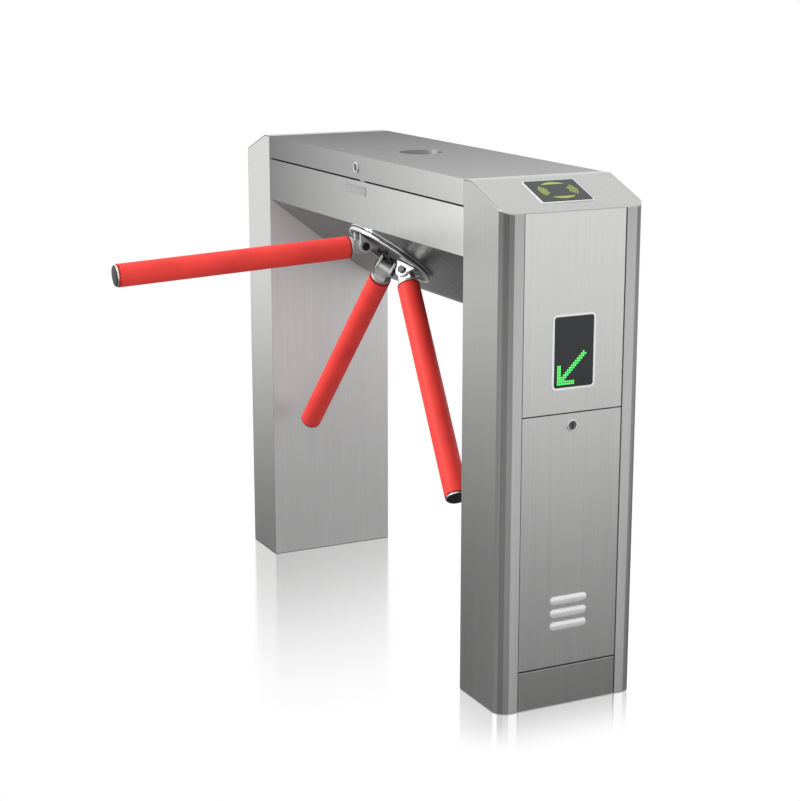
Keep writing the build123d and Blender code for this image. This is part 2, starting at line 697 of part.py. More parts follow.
# ---- Electronics on the back wall of the bridge ----
board_length, board_height, spacer_length = 180.0, 110.0, 10.0
board_x, board_z = 202.0 - inner_x, apron_top - 110.0
board_y = half_depth - sheet - spacer_length
board_thick, connector_high, chip_high = 1.6, 14.0, 4.0
with BuildPart() as control_board:
    with BuildSketch(Plane.XZ.offset(-board_y)):
        with Locations((board_x, board_z)):
            Rectangle(board_length, board_height)
    extrude(amount=board_thick)
    with BuildSketch(Plane.XZ.offset(-board_y + board_thick)):
        with Locations(*[(board_x - 70 + 28 * n, board_z + 42) for n in range(6)]):
            Rectangle(22, 14)
        with Locations(*[(board_x - 60 + 34 * n, board_z - 38) for n in range(4)]):
            Rectangle(20, 16)
    extrude(amount=connector_high)
    with BuildSketch(Plane.XZ.offset(-board_y + board_thick)):
        with Locations((board_x - 10, board_z)):
            Rectangle(28, 28)
        with Locations((board_x + 50, board_z + 2)):
            Circle(9)
    extrude(amount=chip_high)
save(control_board.part, "control_board")
with BuildPart() as board_spacers:
    with BuildSketch(Plane.XZ.offset(-board_y)):
        with Locations((board_x, board_z)):
            with GridLocations(board_length - 12, board_height - 12, 2, 2):
                Circle(3.5)
    extrude(amount=-spacer_length)
supply_length, supply_height, supply_thick = 160.0, 98.0, 42.0
with BuildPart() as power_supply:
    with BuildSketch(Plane.XZ.offset(-half_depth + sheet)):
        with Locations((-board_x, board_z)):
            Rectangle(supply_length, supply_height)
    extrude(amount=supply_thick)
    with BuildSketch(Plane.XZ.offset(-half_depth + sheet + supply_thick)):
        with Locations((-board_x, board_z)):
            with GridLocations(14, 14, 9, 5):
                SlotOverall(8, 3)
    extrude(amount=-1, mode=Mode.SUBTRACT)
save(power_supply.part, "power_supply")

# ======== Tripod mechanism, built along the hub axis ========
trim_over, trim_hole_r, trim_thick, trim_round = 0.5, 45.0, 2.0, 1.0
with BuildPart() as trim_ring:
    with BuildSketch(hub_plane(0)):
        Circle(disc_radius + trim_over)
        Circle(trim_hole_r, mode=Mode.SUBTRACT)
    extrude(amount=trim_thick)
    fillet(trim_ring.faces().sort_by(hub_axis)[-1].outer_wire().edges(), trim_round)
save(trim_ring.part, "hub_trim_ring")

plate_shift = -5.0
fixing_points = [(x, plate_shift + y) for x in (-115, -45, 45, 115) for y in (-78, 78)]
with BuildPart() as mechanism_plate:
    with BuildSketch(hub_plane(plate_inner)):
        with Locations((0, plate_shift)):
            Rectangle(plate_length, plate_width)
        Circle(38, mode=Mode.SUBTRACT)
        with Locations(*fixing_points):
            Circle(m8_hole_r, mode=Mode.SUBTRACT)
    extrude(amount=plate_thick)
save(mechanism_plate.part, "mechanism_plate")
stud_over = 8.0  # welded studs reach past the plate
with BuildPart() as plate_fixings:
    for point in fixing_points:
        with BuildSketch(hub_plane(plate_inner - stud_over)):
            with Locations(point):
                Circle(m8_r)
        extrude(amount=plate_thick + stud_over)
        with BuildSketch(hub_plane(plate_inner - hex_height)):
            with Locations(point):
                RegularPolygon(hex_r, 6)
        extrude(amount=hex_height)

# Bearing housing: flange, tube and two bearing seats
lower_seat = plate_inner - 3.5
lower_end = lower_seat - bearing_width
upper_seat = lower_end - bearing_span
upper_end = upper_seat - bearing_width
screw_r, screw_circle, screw_head_r, screw_head, socket_r = 3.2, 50.0, 5.5, 6.0, 3.0
with BuildPart() as housing:
    with BuildSketch(hub_plane(plate_inner)):
        Circle(housing_flange_r)
    extrude(amount=-housing_flange)
    with BuildSketch(hub_plane(plate_inner)):
        Circle(housing_r)
    extrude(amount=upper_end - 2 - plate_inner)
    with BuildSketch(hub_plane(plate_inner)):
        Circle(bearing_out)
    extrude(amount=lower_end - plate_inner, mode=Mode.SUBTRACT)
    with BuildSketch(hub_plane(upper_seat)):
        Circle(bearing_out)
    extrude(amount=-bearing_width - 2, mode=Mode.SUBTRACT)
    with BuildSketch(hub_plane(lower_end)):
        Circle(bearing_out - 3.5)
    extrude(amount=-bearing_span, mode=Mode.SUBTRACT)
    with BuildSketch(hub_plane(plate_inner)):
        with PolarLocations(screw_circle, 6, 30):
            Circle(screw_r)
    extrude(amount=-housing_flange, mode=Mode.SUBTRACT)
save(housing.part, "bearing_housing")
with BuildPart() as housing_screws:
    with BuildSketch(hub_plane(plate_inner)):
        with PolarLocations(screw_circle, 6, 30):
            Circle(screw_r)
    extrude(amount=-housing_flange)
    with BuildSketch(hub_plane(plate_inner - housing_flange)):
        with PolarLocations(screw_circle, 6, 30):
            Circle(screw_head_r)
    extrude(amount=-screw_head)
    with BuildSketch(hub_plane(plate_inner - housing_flange - screw_head / 2)):
        with PolarLocations(screw_circle, 6, 30):
            RegularPolygon(socket_r, 6)
    extrude(amount=-screw_head, mode=Mode.SUBTRACT)
with BuildPart() as fixed_fasteners:
    add([bridge_bolts.part, plate_fixings.part, housing_screws.part, board_spacers.part])
save(fixed_fasteners.part, "cabinet_fasteners")

with BuildPart() as outer_rings:
    for start in (lower_seat, upper_seat):
        with BuildSketch(hub_plane(start)):
            Circle(bearing_out)
            Circle(bearing_in + ring_wall + running, mode=Mode.SUBTRACT)
        extrude(amount=-bearing_width)
save(outer_rings.part, "bearing_outer_rings")
with BuildPart() as inner_rings:
    for start in (lower_seat, upper_seat):
        with BuildSketch(hub_plane(start)):
            Circle(bearing_in + ring_wall)
            Circle(bearing_in, mode=Mode.SUBTRACT)
        extrude(amount=-bearing_width)
save(inner_rings.part, "bearing_inner_rings")
with BuildPart() as ring_spacer:
    with BuildSketch(hub_plane(lower_end)):
        Circle(bearing_in + 3)
        Circle(bearing_in, mode=Mode.SUBTRACT)
    extrude(amount=-bearing_span)

# Main shaft: flange behind the disc, shoulder, journal, and a slim end in the damper
wheel_start = upper_end - 1.0
wheel_boss = 20.0
encoder_start = wheel_start - wheel_boss
nut_start = encoder_start - encoder_thick
nut_thick = 9.0
journal_end = nut_start - nut_thick - 1
damper_start = journal_end - 9.0
damper_thick = 22.0
shaft_end_r = 8.0
with BuildPart() as shaft:
    with BuildSketch(hub_plane(disc_stand)):
        Circle(35)
    extrude(amount=-disc_stand - 6)
    with BuildSketch(hub_plane(-6)):
        Circle(bearing_in + 3)
    extrude(amount=lower_seat + 6)
    with BuildSketch(hub_plane(lower_seat)):
        Circle(bearing_in)
    extrude(amount=journal_end - lower_seat)
    with BuildSketch(hub_plane(journal_end)):
        Circle(shaft_end_r)
    extrude(amount=damper_start - 16 - journal_end)
save(shaft.part, "main_shaft")

with BuildPart() as wheel:
    with BuildSketch(hub_plane(upper_end)):
        Circle(bearing_in + 3)
    extrude(amount=-3)
    with BuildSketch(hub_plane(upper_end - 3)):
        Circle(bearing_in + 7)
    extrude(amount=encoder_start - upper_end + 3)
    with BuildSketch(hub_plane(wheel_start - 4)):
        Circle(wheel_r)
        with PolarLocations(wheel_r, 6):
            Rectangle(2 * notch_depth, notch_width, mode=Mode.SUBTRACT)
        with PolarLocations(32, 6, 30):
            Circle(5, mode=Mode.SUBTRACT)
    extrude(amount=-wheel_thick)
    with BuildSketch(hub_plane(upper_end)):
        Circle(bearing_in)
    extrude(amount=-wheel_boss - 1, mode=Mode.SUBTRACT)
save(wheel.part, "index_wheel")
with BuildPart() as encoder:
    with BuildSketch(hub_plane(encoder_start)):
        Circle(encoder_r)
        Circle(bearing_in, mode=Mode.SUBTRACT)
        with PolarLocations(encoder_r - 4, 24):
            Rectangle(4, 5, mode=Mode.SUBTRACT)
    extrude(amount=-encoder_thick)
save(encoder.part, "encoder_disc")
with BuildPart() as shaft_nut:
    with BuildSketch(hub_plane(nut_start)):
        RegularPolygon(bearing_in + 9, 6)
        Circle(bearing_in, mode=Mode.SUBTRACT)
    extrude(amount=-nut_thick)
with BuildPart() as nut_and_spacer:
    add([shaft_nut.part, ring_spacer.part])
save(nut_and_spacer.part, "shaft_nut_and_spacer")

# Damper on a bridge-shaped bracket over the wheel
bracket_half, bracket_sheet = 70.0, 3.0
with BuildPart() as damper_bracket:
    for side in (-1, 1):
        with BuildSketch(hub_plane(plate_inner)):
            with Locations((0, side * (bracket_half + bracket_sheet / 2))):
                Rectangle(40, bracket_sheet)
        extrude(amount=damper_start - plate_inner)
    with BuildSketch(hub_plane(damper_start)):
        Rectangle(40, 2 * (bracket_half + bracket_sheet))
        Circle(12, mode=Mode.SUBTRACT)
    extrude(amount=bracket_sheet)
with BuildPart() as damper:
    with BuildSketch(hub_plane(damper_start)):
        Circle(28)
    extrude(amount=-damper_thick)
    fillet(damper.edges().sort_by(hub_axis)[0], 2)
    with BuildSketch(hub_plane(damper_start)):
        Circle(shaft_end_r + running)
    extrude(amount=-18, mode=Mode.SUBTRACT)
save(damper.part, "rotary_damper")

# Lock solenoid, its bracket, and the bolt that slides into a notch of the wheel
bolt_out = wheel_start - 4 - wheel_thick / 2
bolt_tip = wheel_r + bolt_tip_gap
solenoid_start, solenoid_length, solenoid_size = 72.0, 42.0, 30.0


def across(x):
    """A plane square to the local X direction of the hub, at x, centred on the lock bolt."""
    return Plane(
        origin=hub.from_local_coords((x, 0, bolt_out)), x_dir=hub.y_dir, z_dir=hub.x_dir
    )


with BuildPart() as solenoid:
    with BuildSketch(across(solenoid_start)):
        Rectangle(solenoid_size, solenoid_size)
        Circle(bolt_r + running, mode=Mode.SUBTRACT)
    extrude(amount=solenoid_length)
save(solenoid.part, "lock_solenoid")
with BuildPart() as lock_bolt:
    with BuildSketch(across(bolt_tip)):
        Circle(bolt_r)
    extrude(amount=solenoid_start + solenoid_length + 8 - bolt_tip)
    fillet(lock_bolt.edges().sort_by(Axis.X)[0], 1.5)
save(lock_bolt.part, "lock_bolt")
with BuildPart() as solenoid_bracket:
    bracket_x = solenoid_start + solenoid_length
    bracket_rise = plate_inner - bolt_out
    with BuildSketch(across(bracket_x)):
        with Locations((0, (bracket_rise - solenoid_size / 2) / 2)):
            Rectangle(solenoid_size, bracket_rise + solenoid_size / 2)
        Circle(bolt_r + 3, mode=Mode.SUBTRACT)
    extrude(amount=3)
    with BuildSketch(hub_plane(plate_inner)):
        with Locations((bracket_x - 12, 0)):
            Rectangle(24, solenoid_size)
    extrude(amount=-3)

# Position sensor: a slotted fork over the encoder disc, on a bent foot
fork_in, fork_out = -encoder_r + 7, -encoder_r - 9
fork_slot = 1.0  # clearance each side of the disc
with BuildPart() as sensor:
    with BuildSketch(hub_plane(encoder_start + fork_slot + 5)):
        with Locations(((fork_in + fork_out) / 2, 0)):
            Rectangle(fork_in - fork_out, 18)
    extrude(amount=-encoder_thick - 2 * fork_slot - 10)
    with BuildSketch(hub_plane(encoder_start + fork_slot)):
        with Locations((fork_out + 7, 0)):
            Rectangle(2 * encoder_r, 20, align=(Align.MIN, Align.CENTER))
    extrude(amount=-encoder_thick - 2 * fork_slot, mode=Mode.SUBTRACT)
save(sensor.part, "position_sensor")
with BuildPart() as sensor_bracket:
    with BuildSketch(hub_plane(plate_inner)):
        with Locations((fork_out - 1.5, 0)):
            Rectangle(3, 30)
    extrude(amount=encoder_start - encoder_thick - 12 - plate_inner)
    with BuildSketch(hub_plane(plate_inner)):
        with Locations((fork_out - 3 - 9, 0)):
            Rectangle(18, 30)
    extrude(amount=-3)
with BuildPart() as brackets:
    add([damper_bracket.part, solenoid_bracket.part, sensor_bracket.part])
save(brackets.part, "mechanism_brackets")

# ======== Tripod rotor ========
with BuildPart() as disc:
    with BuildSketch(hub_plane(disc_stand)):
        Circle(disc_radius)
    extrude(amount=disc_thick)
    fillet(disc.edges(), 2.5)
save(disc.part, "hub_disc")
disc_face = disc_stand + disc_thick
hub_screw_circle, hub_screw_r, hub_screw_head = 22.0, 6.0, 4.0
with BuildPart() as hub_screws:
    with BuildSketch(hub_plane(disc_face, rest_turn)):
        with PolarLocations(hub_screw_circle, 4, 45):
            Circle(hub_screw_r)
            RegularPolygon(socket_r, 6, mode=Mode.SUBTRACT)
    extrude(amount=hub_screw_head)


def arm_frame(number):
    """Pivot point, tangent, radial direction and pointing direction of one arm, at rest."""
    turned = hub_plane(pin_stand, rest_turn + 120 * (number - 1))
    radial = turned.y_dir
    tangent = turned.x_dir
    pivot = turned.origin + radial * pin_radius_out
    pointing = turned.z_dir * cos(radians(arm_cone)) + radial * sin(radians(arm_cone))
    return pivot, tangent, radial, pointing


pin_rise = pin_stand - disc_face
ear_reach = ear_gap / 2 + ear_thick
with BuildPart() as ears:
    for number in (1, 2, 3):
        pivot, tangent, radial, pointing = arm_frame(number)
        for start in (-ear_reach, ear_gap / 2):
            # local X runs out along the radius and local Y away from the disc
            with BuildSketch(Plane(origin=pivot + tangent * start, x_dir=radial, z_dir=tangent)):
                Circle(ear_r)
                Polygon((-ear_r, 0), (ear_r, 0), (ear_base, -pin_rise), (-ear_base, -pin_rise))
                Circle(pin_r, mode=Mode.SUBTRACT)
            extrude(amount=ear_thick)
save(ears.part, "bracket_ears")

bolt_head_r, bolt_head, bolt_socket_r = 8.0, 3.5, 3.4
pivot_nut_r, pivot_nut = 8.5, 5.0
with BuildPart() as pivot_bolts:
    for number in (1, 2, 3):
        pivot, tangent, radial, pointing = arm_frame(number)
        nut_side = Plane(origin=pivot - tangent * ear_reach, x_dir=radial, z_dir=tangent)
        head_side = nut_side.offset(2 * ear_reach)
        with BuildSketch(nut_side):
            Circle(pin_r)
        extrude(amount=2 * ear_reach)
        with BuildSketch(head_side):
            Circle(bolt_head_r)
            RegularPolygon(bolt_socket_r, 6, mode=Mode.SUBTRACT)
        extrude(amount=bolt_head)
        with BuildSketch(nut_side):
            RegularPolygon(pivot_nut_r, 6)
        extrude(amount=-pivot_nut)
with BuildPart() as rotor_fasteners:
    add([hub_screws.part, pivot_bolts.part])
save(rotor_fasteners.part, "rotor_fasteners")

tongue = ear_gap - 2 * side_play
tongue_r = ear_r - 1.0
collar_r = tube_r + 2.0
collar_start = sleeve_start - 6.0
root_plug, cap_spigot = 30.0, 12.0


def arm_planes(number):
    """Planes at the pivot: square to the arm, and square to the pivot bolt on the tongue's side."""
    pivot, tangent, radial, pointing = arm_frame(number)
    along = Plane(origin=pivot, x_dir=tangent, z_dir=pointing)
    side = Plane(origin=pivot - tangent * (tongue / 2), x_dir=pointing, z_dir=tangent)
    return along, side


def arm_root(number):
    """Tongue between the ears, collar, and the plug that goes into the tube."""
    along, side = arm_planes(number)
    with BuildPart() as root:
        with BuildSketch(side):
            Circle(tongue_r)
            with Locations((collar_start / 2, 0)):
                Rectangle(collar_start, 2 * tongue_r)
        extrude(amount=tongue)
        with BuildSketch(along.offset(collar_start)):
            Circle(collar_r)
        extrude(amount=sleeve_start - collar_start)
        with BuildSketch(along.offset(sleeve_start)):
            Circle(tube_r - tube_wall)
        extrude(amount=root_plug)
        with BuildSketch(side):
            Circle(pin_r + running)
        extrude(amount=tongue, mode=Mode.SUBTRACT)
    return root.part


def arm_tube(number):
    """Steel tube between the root's collar and the end cap."""
    along, side = arm_planes(number)
    with BuildPart() as tube:
        with BuildSketch(along.offset(sleeve_start)):
            Circle(tube_r)
            Circle(tube_r - tube_wall, mode=Mode.SUBTRACT)
        extrude(amount=arm_length - cap_thick - sleeve_start)
    return tube.part


def arm_sleeve(number):
    """Coloured sleeve over the whole tube."""
    along, side = arm_planes(number)
    with BuildPart() as sleeve:
        with BuildSketch(along.offset(sleeve_start + 1)):
            Circle(sleeve_r)
            Circle(tube_r, mode=Mode.SUBTRACT)
        extrude(amount=arm_length - cap_thick - sleeve_start - 1)
        fillet(sleeve.faces().sort_by(Axis(along.origin, along.z_dir))[0].outer_wire().edges(), 2)
    return sleeve.part


def arm_end_cap(number):
    """Flat cap with a spigot in the end of the tube."""
    along, side = arm_planes(number)
    with BuildPart() as end_cap:
        with BuildSketch(along.offset(arm_length - cap_thick)):
            Circle(sleeve_r)
        extrude(amount=cap_thick)
        fillet(end_cap.faces().sort_by(Axis(along.origin, along.z_dir))[-1].edges(), 3)
        with BuildSketch(along.offset(arm_length - cap_thick)):
            Circle(tube_r - tube_wall)
        extrude(amount=-cap_spigot)
    return end_cap.part


# Arm 1 bars the way and can drop. The other two stay fixed on the rotor.
arm_pieces = {"root": arm_root, "tube": arm_tube, "sleeve": arm_sleeve, "end_cap": arm_end_cap}
for piece, make in arm_pieces.items():
    save(make(1), f"arm_1_{piece}")
    with BuildPart() as pair:
        add([make(2), make(3)])
    save(pair.part, f"side_arm_{piece}s")
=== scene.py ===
import json
import math

import bpy
from mathutils import Matrix, Vector

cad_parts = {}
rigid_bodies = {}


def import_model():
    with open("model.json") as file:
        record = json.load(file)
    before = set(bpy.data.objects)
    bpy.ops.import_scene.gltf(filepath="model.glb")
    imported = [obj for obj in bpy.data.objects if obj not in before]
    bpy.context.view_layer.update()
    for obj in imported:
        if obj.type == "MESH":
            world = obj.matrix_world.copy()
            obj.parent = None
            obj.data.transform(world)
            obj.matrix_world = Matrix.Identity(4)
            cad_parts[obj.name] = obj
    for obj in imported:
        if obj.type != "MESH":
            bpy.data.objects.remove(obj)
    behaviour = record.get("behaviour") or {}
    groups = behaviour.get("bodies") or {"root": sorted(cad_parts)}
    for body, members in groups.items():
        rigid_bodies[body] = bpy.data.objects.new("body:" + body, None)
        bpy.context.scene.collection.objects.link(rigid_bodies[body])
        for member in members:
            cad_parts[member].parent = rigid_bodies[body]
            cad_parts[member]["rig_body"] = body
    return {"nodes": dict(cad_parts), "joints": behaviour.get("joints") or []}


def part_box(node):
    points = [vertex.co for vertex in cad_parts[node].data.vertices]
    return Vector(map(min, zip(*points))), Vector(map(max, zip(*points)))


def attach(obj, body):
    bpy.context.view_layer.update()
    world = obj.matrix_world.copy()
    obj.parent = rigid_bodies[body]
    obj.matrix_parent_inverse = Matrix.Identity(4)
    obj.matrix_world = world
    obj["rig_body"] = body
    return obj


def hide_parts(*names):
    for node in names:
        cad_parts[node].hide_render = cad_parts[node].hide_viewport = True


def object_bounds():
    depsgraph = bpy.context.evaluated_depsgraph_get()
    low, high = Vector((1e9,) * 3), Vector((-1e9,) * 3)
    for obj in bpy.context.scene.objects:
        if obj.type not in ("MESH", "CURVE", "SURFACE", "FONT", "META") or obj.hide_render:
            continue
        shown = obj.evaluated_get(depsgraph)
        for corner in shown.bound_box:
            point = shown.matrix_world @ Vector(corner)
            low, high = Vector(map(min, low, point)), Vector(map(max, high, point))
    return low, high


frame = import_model()
cad_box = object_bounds()

# ---- Studio: camera ----
# Standing height, off the reader's end of the turnstile and on the side of the arms.
camera_data = bpy.data.cameras.new("camera")
camera_data.lens = 83.2
camera_data.sensor_width = 36.0
camera = bpy.data.objects.new("camera", camera_data)
bpy.context.scene.collection.objects.link(camera)
camera.location = (3.334, -1.689, 1.341)
camera_turn, camera_dip = math.radians(26.22), math.radians(13.47)
looking = Vector(
    (
        -math.cos(camera_turn) * math.cos(camera_dip),
        math.sin(camera_turn) * math.cos(camera_dip),
        -math.sin(camera_dip),
    )
)
camera.rotation_mode = "QUATERNION"
camera.rotation_quaternion = looking.to_track_quat("-Z", "Y")
bpy.context.scene.camera = camera
bpy.context.scene.view_settings.view_transform = "Standard"

# ---- Studio: floor ----
# A pale glossy floor that runs out of sight. It is white to look at, with a soft reflection that
# fades away from each pillar, and it throws less light back from near than from far off.
floor_material = bpy.data.materials.new("studio_floor")
floor_material.use_nodes = True
nodes, links = floor_material.node_tree.nodes, floor_material.node_tree.links
nodes.clear()
place = nodes.new("ShaderNodeNewGeometry")
away = nodes.new("ShaderNodeVectorMath")
away.operation = "LENGTH"
links.new(place.outputs["Position"], away.inputs[0])
share = nodes.new("ShaderNodeMapRange")
share.inputs["From Max"].default_value = 4.0
links.new(away.outputs["Value"], share.inputs["Value"])
curve = nodes.new("ShaderNodeMath")
curve.operation = "POWER"
curve.inputs[1].default_value = 1.6
links.new(share.outputs["Result"], curve.inputs[0])
fade = nodes.new("ShaderNodeMapRange")
fade.inputs["To Min"].default_value = 0.12
fade.inputs["To Max"].default_value = 1.0
links.new(curve.outputs[0], fade.inputs["Value"])
ray = nodes.new("ShaderNodeLightPath")
on_dull = nodes.new("ShaderNodeMath")
on_dull.operation = "MULTIPLY_ADD"
on_dull.inputs[1].default_value = 0.3
links.new(ray.outputs["Is Diffuse Ray"], on_dull.inputs[0])
links.new(fade.outputs["Result"], on_dull.inputs[2])
thrown_back = nodes.new("ShaderNodeEmission")
links.new(on_dull.outputs[0], thrown_back.inputs["Strength"])
white = nodes.new("ShaderNodeEmission")
white.inputs["Strength"].default_value = 1.0
gloss = nodes.new("ShaderNodeBsdfGlossy")
gloss.inputs["Color"].default_value = (1.0, 1.0, 1.0, 1.0)
gloss.inputs["Roughness"].default_value = 0.12
shine = None
foot_half = Vector((0.074, 0.144, 1.0))
foot_away = 0.526
for foot_x, at_foot, reach in ((-foot_away, 0.95, 1.0), (foot_away, 0.72, 0.17)):
    step = place.outputs["Position"]
    for operation, value in (
        ("SUBTRACT", Vector((foot_x, 0, 0))),
        ("ABSOLUTE", None),
        ("SUBTRACT", foot_half),
        ("MAXIMUM", Vector()),
    ):
        stage = nodes.new("ShaderNodeVectorMath")
        stage.operation = operation
        links.new(step, stage.inputs[0])
        if value is not None:
            stage.inputs[1].default_value = value
        step = stage.outputs[0]
    gap = nodes.new("ShaderNodeVectorMath")
    gap.operation = "LENGTH"
    links.new(step, gap.inputs[0])
    near_foot = nodes.new("ShaderNodeMapRange")
    near_foot.interpolation_type = "SMOOTHSTEP"
    near_foot.inputs["From Min"].default_value = -0.1 * reach
    near_foot.inputs["From Max"].default_value = reach
    near_foot.inputs["To Min"].default_value = at_foot
    near_foot.inputs["To Max"].default_value = 0.0
    links.new(gap.outputs["Value"], near_foot.inputs["Value"])
    if shine is None:
        shine = near_foot
    else:
        more = nodes.new("ShaderNodeMath")
        more.operation = "MAXIMUM"
        links.new(shine.outputs[0], more.inputs[0])
        links.new(near_foot.outputs[0], more.inputs[1])
        shine = more
polished = nodes.new("ShaderNodeMixShader")
links.new(shine.outputs[0], polished.inputs["Fac"])
links.new(white.outputs[0], polished.inputs[1])
links.new(gloss.outputs[0], polished.inputs[2])
by_ray = nodes.new("ShaderNodeMixShader")
links.new(ray.outputs["Is Camera Ray"], by_ray.inputs["Fac"])
links.new(thrown_back.outputs[0], by_ray.inputs[1])
links.new(polished.outputs[0], by_ray.inputs[2])
floor_surface = nodes.new("ShaderNodeOutputMaterial")
links.new(by_ray.outputs[0], floor_surface.inputs["Surface"])
floor_size, under_feet = 120.0, 0.0006
bpy.ops.mesh.primitive_plane_add(size=floor_size, location=(0, 0, -under_feet))
floor = bpy.context.active_object
floor.name = "studio_floor"
floor.data.materials.append(floor_material)

# ---- Studio: light ----
# An even white surround, and a soft square lamp over the arms that shades their far sides.
world = bpy.data.worlds.new("studio")
world.use_nodes = True
bpy.context.scene.world = world
nodes, links = world.node_tree.nodes, world.node_tree.links
sky = nodes["Background"]
ray = nodes.new("ShaderNodeLightPath")
strength = nodes.new("ShaderNodeMapRange")
strength.inputs["To Min"].default_value = 1.0
strength.inputs["To Max"].default_value = 0.9
links.new(ray.outputs["Is Diffuse Ray"], strength.inputs["Value"])
links.new(strength.outputs["Result"], sky.inputs["Strength"])
sky.inputs["Color"].default_value = (1.0, 1.0, 1.0, 1.0)


def soft_light(name, place, aim, size, power):
    """A soft square lamp at a place, turned towards a point."""
    lamp = bpy.data.lights.new(name, "AREA")
    lamp.size = size
    lamp.energy = power
    holder = bpy.data.objects.new(name, lamp)
    bpy.context.scene.collection.objects.link(holder)
    holder.location = place
    holder.rotation_mode = "QUATERNION"
    holder.rotation_quaternion = (Vector(aim) - Vector(place)).to_track_quat("-Z", "Y")


lamp_place, lamp_aim = (-0.9, -3.0, 2.7), (0, -0.2, 0.6)
lamp_size, lamp_power = 1.4, 70.0
soft_light("key_light", lamp_place, lamp_aim, lamp_size, lamp_power)


# ---- Pillars ----
# Stainless sheet of 1.5 mm, brushed upright and folded to a box with rounded outer
# corners, its edges turned back for the end panels. A fine radius breaks each edge.
def brushed_steel(name, tone, brush, roughness=0.36, ramp=None, metal=0.9):
    """Brushed stainless steel. brush is the pattern's scale along X, Y and Z, small along
    the lines. ramp is an axis, two places on it, and the tone's share at each: it paints light and shade into
    the tone along that axis."""
    steel = bpy.data.materials.new(name)
    steel.use_nodes = True
    nodes, links = steel.node_tree.nodes, steel.node_tree.links
    shader = nodes["Principled BSDF"]
    shader.inputs["Metallic"].default_value = metal
    where = nodes.new("ShaderNodeTexCoord")
    stretch = nodes.new("ShaderNodeMapping")
    stretch.inputs["Scale"].default_value = brush
    links.new(where.outputs["Object"], stretch.inputs["Vector"])
    lines = nodes.new("ShaderNodeTexNoise")
    lines.inputs["Scale"].default_value = 1.0
    lines.inputs["Detail"].default_value = 5.0
    lines.inputs["Roughness"].default_value = 0.7
    links.new(stretch.outputs["Vector"], lines.inputs["Vector"])
    cloud = nodes.new("ShaderNodeTexNoise")
    cloud.inputs["Scale"].default_value = 2.2
    cloud.inputs["Detail"].default_value = 2.0
    links.new(where.outputs["Object"], cloud.inputs["Vector"])
    both = nodes.new("ShaderNodeMath")
    both.operation = "MULTIPLY_ADD"
    both.inputs[1].default_value = 0.3
    links.new(cloud.outputs["Fac"], both.inputs[0])
    links.new(lines.outputs["Fac"], both.inputs[2])
    colour = nodes.new("ShaderNodeValToRGB")
    colour.color_ramp.elements[0].position = 0.4
    colour.color_ramp.elements[1].position = 0.9
    colour.color_ramp.elements[0].color = [0.93 * part for part in tone] + [1.0]
    colour.color_ramp.elements[1].color = [1.05 * part for part in tone] + [1.0]
    links.new(both.outputs[0], colour.inputs["Fac"])
    tint = colour.outputs["Color"]
    # Painted light and shade: the tone is scaled along one axis.
    if ramp:
        axis, start, end, start_share, end_share = ramp
        split = nodes.new("ShaderNodeSeparateXYZ")
        links.new(where.outputs["Object"], split.inputs["Vector"])
        along = nodes.new("ShaderNodeMapRange")
        along.inputs["From Min"].default_value = start
        along.inputs["From Max"].default_value = end
        along.inputs["To Min"].default_value = start_share
        along.inputs["To Max"].default_value = end_share
        links.new(split.outputs[axis], along.inputs["Value"])
        shade = nodes.new("ShaderNodeVectorMath")
        shade.operation = "SCALE"
        links.new(tint, shade.inputs[0])
        links.new(along.outputs["Result"], shade.inputs["Scale"])
        tint = shade.outputs["Vector"]
    links.new(tint, shader.inputs["Base Color"])
    rough = nodes.new("ShaderNodeMapRange")
    rough.inputs["From Min"].default_value = 0.4
    rough.inputs["From Max"].default_value = 0.9
    rough.inputs["To Min"].default_value = roughness - 0.05
    rough.inputs["To Max"].default_value = roughness + 0.06
    links.new(both.outputs[0], rough.inputs["Value"])
    links.new(rough.outputs["Result"], shader.inputs["Roughness"])
    grain = nodes.new("ShaderNodeBump")
    grain.inputs["Strength"].default_value = 0.1
    grain.inputs["Distance"].default_value = 0.0002
    links.new(lines.outputs["Fac"], grain.inputs["Height"])
    links.new(grain.outputs["Normal"], shader.inputs["Normal"])
    return steel


def edit_alone(piece):
    """Selects one piece alone, and opens it for editing with nothing in it selected."""
    bpy.ops.object.select_all(action="DESELECT")
    piece.select_set(True)
    bpy.context.view_layer.objects.active = piece
    bpy.ops.object.mode_set(mode="EDIT")
    bpy.ops.mesh.select_mode(type="VERT")
    bpy.ops.mesh.select_all(action="DESELECT")
    bpy.ops.object.mode_set(mode="OBJECT")


def with_broken_edges(node, name, radius, material, segments=2, sharp=32):
    """Stands for a CAD part: the same shape, its points merged, and a small radius on its edges."""
    piece = bpy.data.objects.new(name, frame["nodes"][node].data.copy())
    bpy.context.scene.collection.objects.link(piece)
    edit_alone(piece)
    bpy.ops.object.mode_set(mode="EDIT")
    bpy.ops.mesh.select_all(action="SELECT")
    bpy.ops.mesh.remove_doubles(threshold=0.00001)
    bpy.ops.mesh.dissolve_limited(angle_limit=math.radians(0.5))
    bpy.ops.mesh.normals_make_consistent(inside=False)
    bpy.ops.object.mode_set(mode="OBJECT")
    edge = piece.modifiers.new("edge", "BEVEL")
    edge.width = radius
    edge.segments = segments
    edge.limit_method = "ANGLE"
    edge.angle_limit = math.radians(sharp)
    edge.use_clamp_overlap = False
    bpy.ops.object.modifier_apply(modifier="edge")
    bpy.ops.object.shade_smooth_by_angle(angle=math.radians(18))
    piece.data.materials.clear()
    piece.data.materials.append(material)
    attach(piece, frame["nodes"][node]["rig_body"])
    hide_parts(node)
    return piece


def finish_faces(piece, material, chosen):
    """Gives the faces that a test picks out a finish of their own."""
    piece.data.materials.append(material)
    for face in piece.data.polygons:
        if chosen(face):
            face.material_index = len(piece.data.materials) - 1


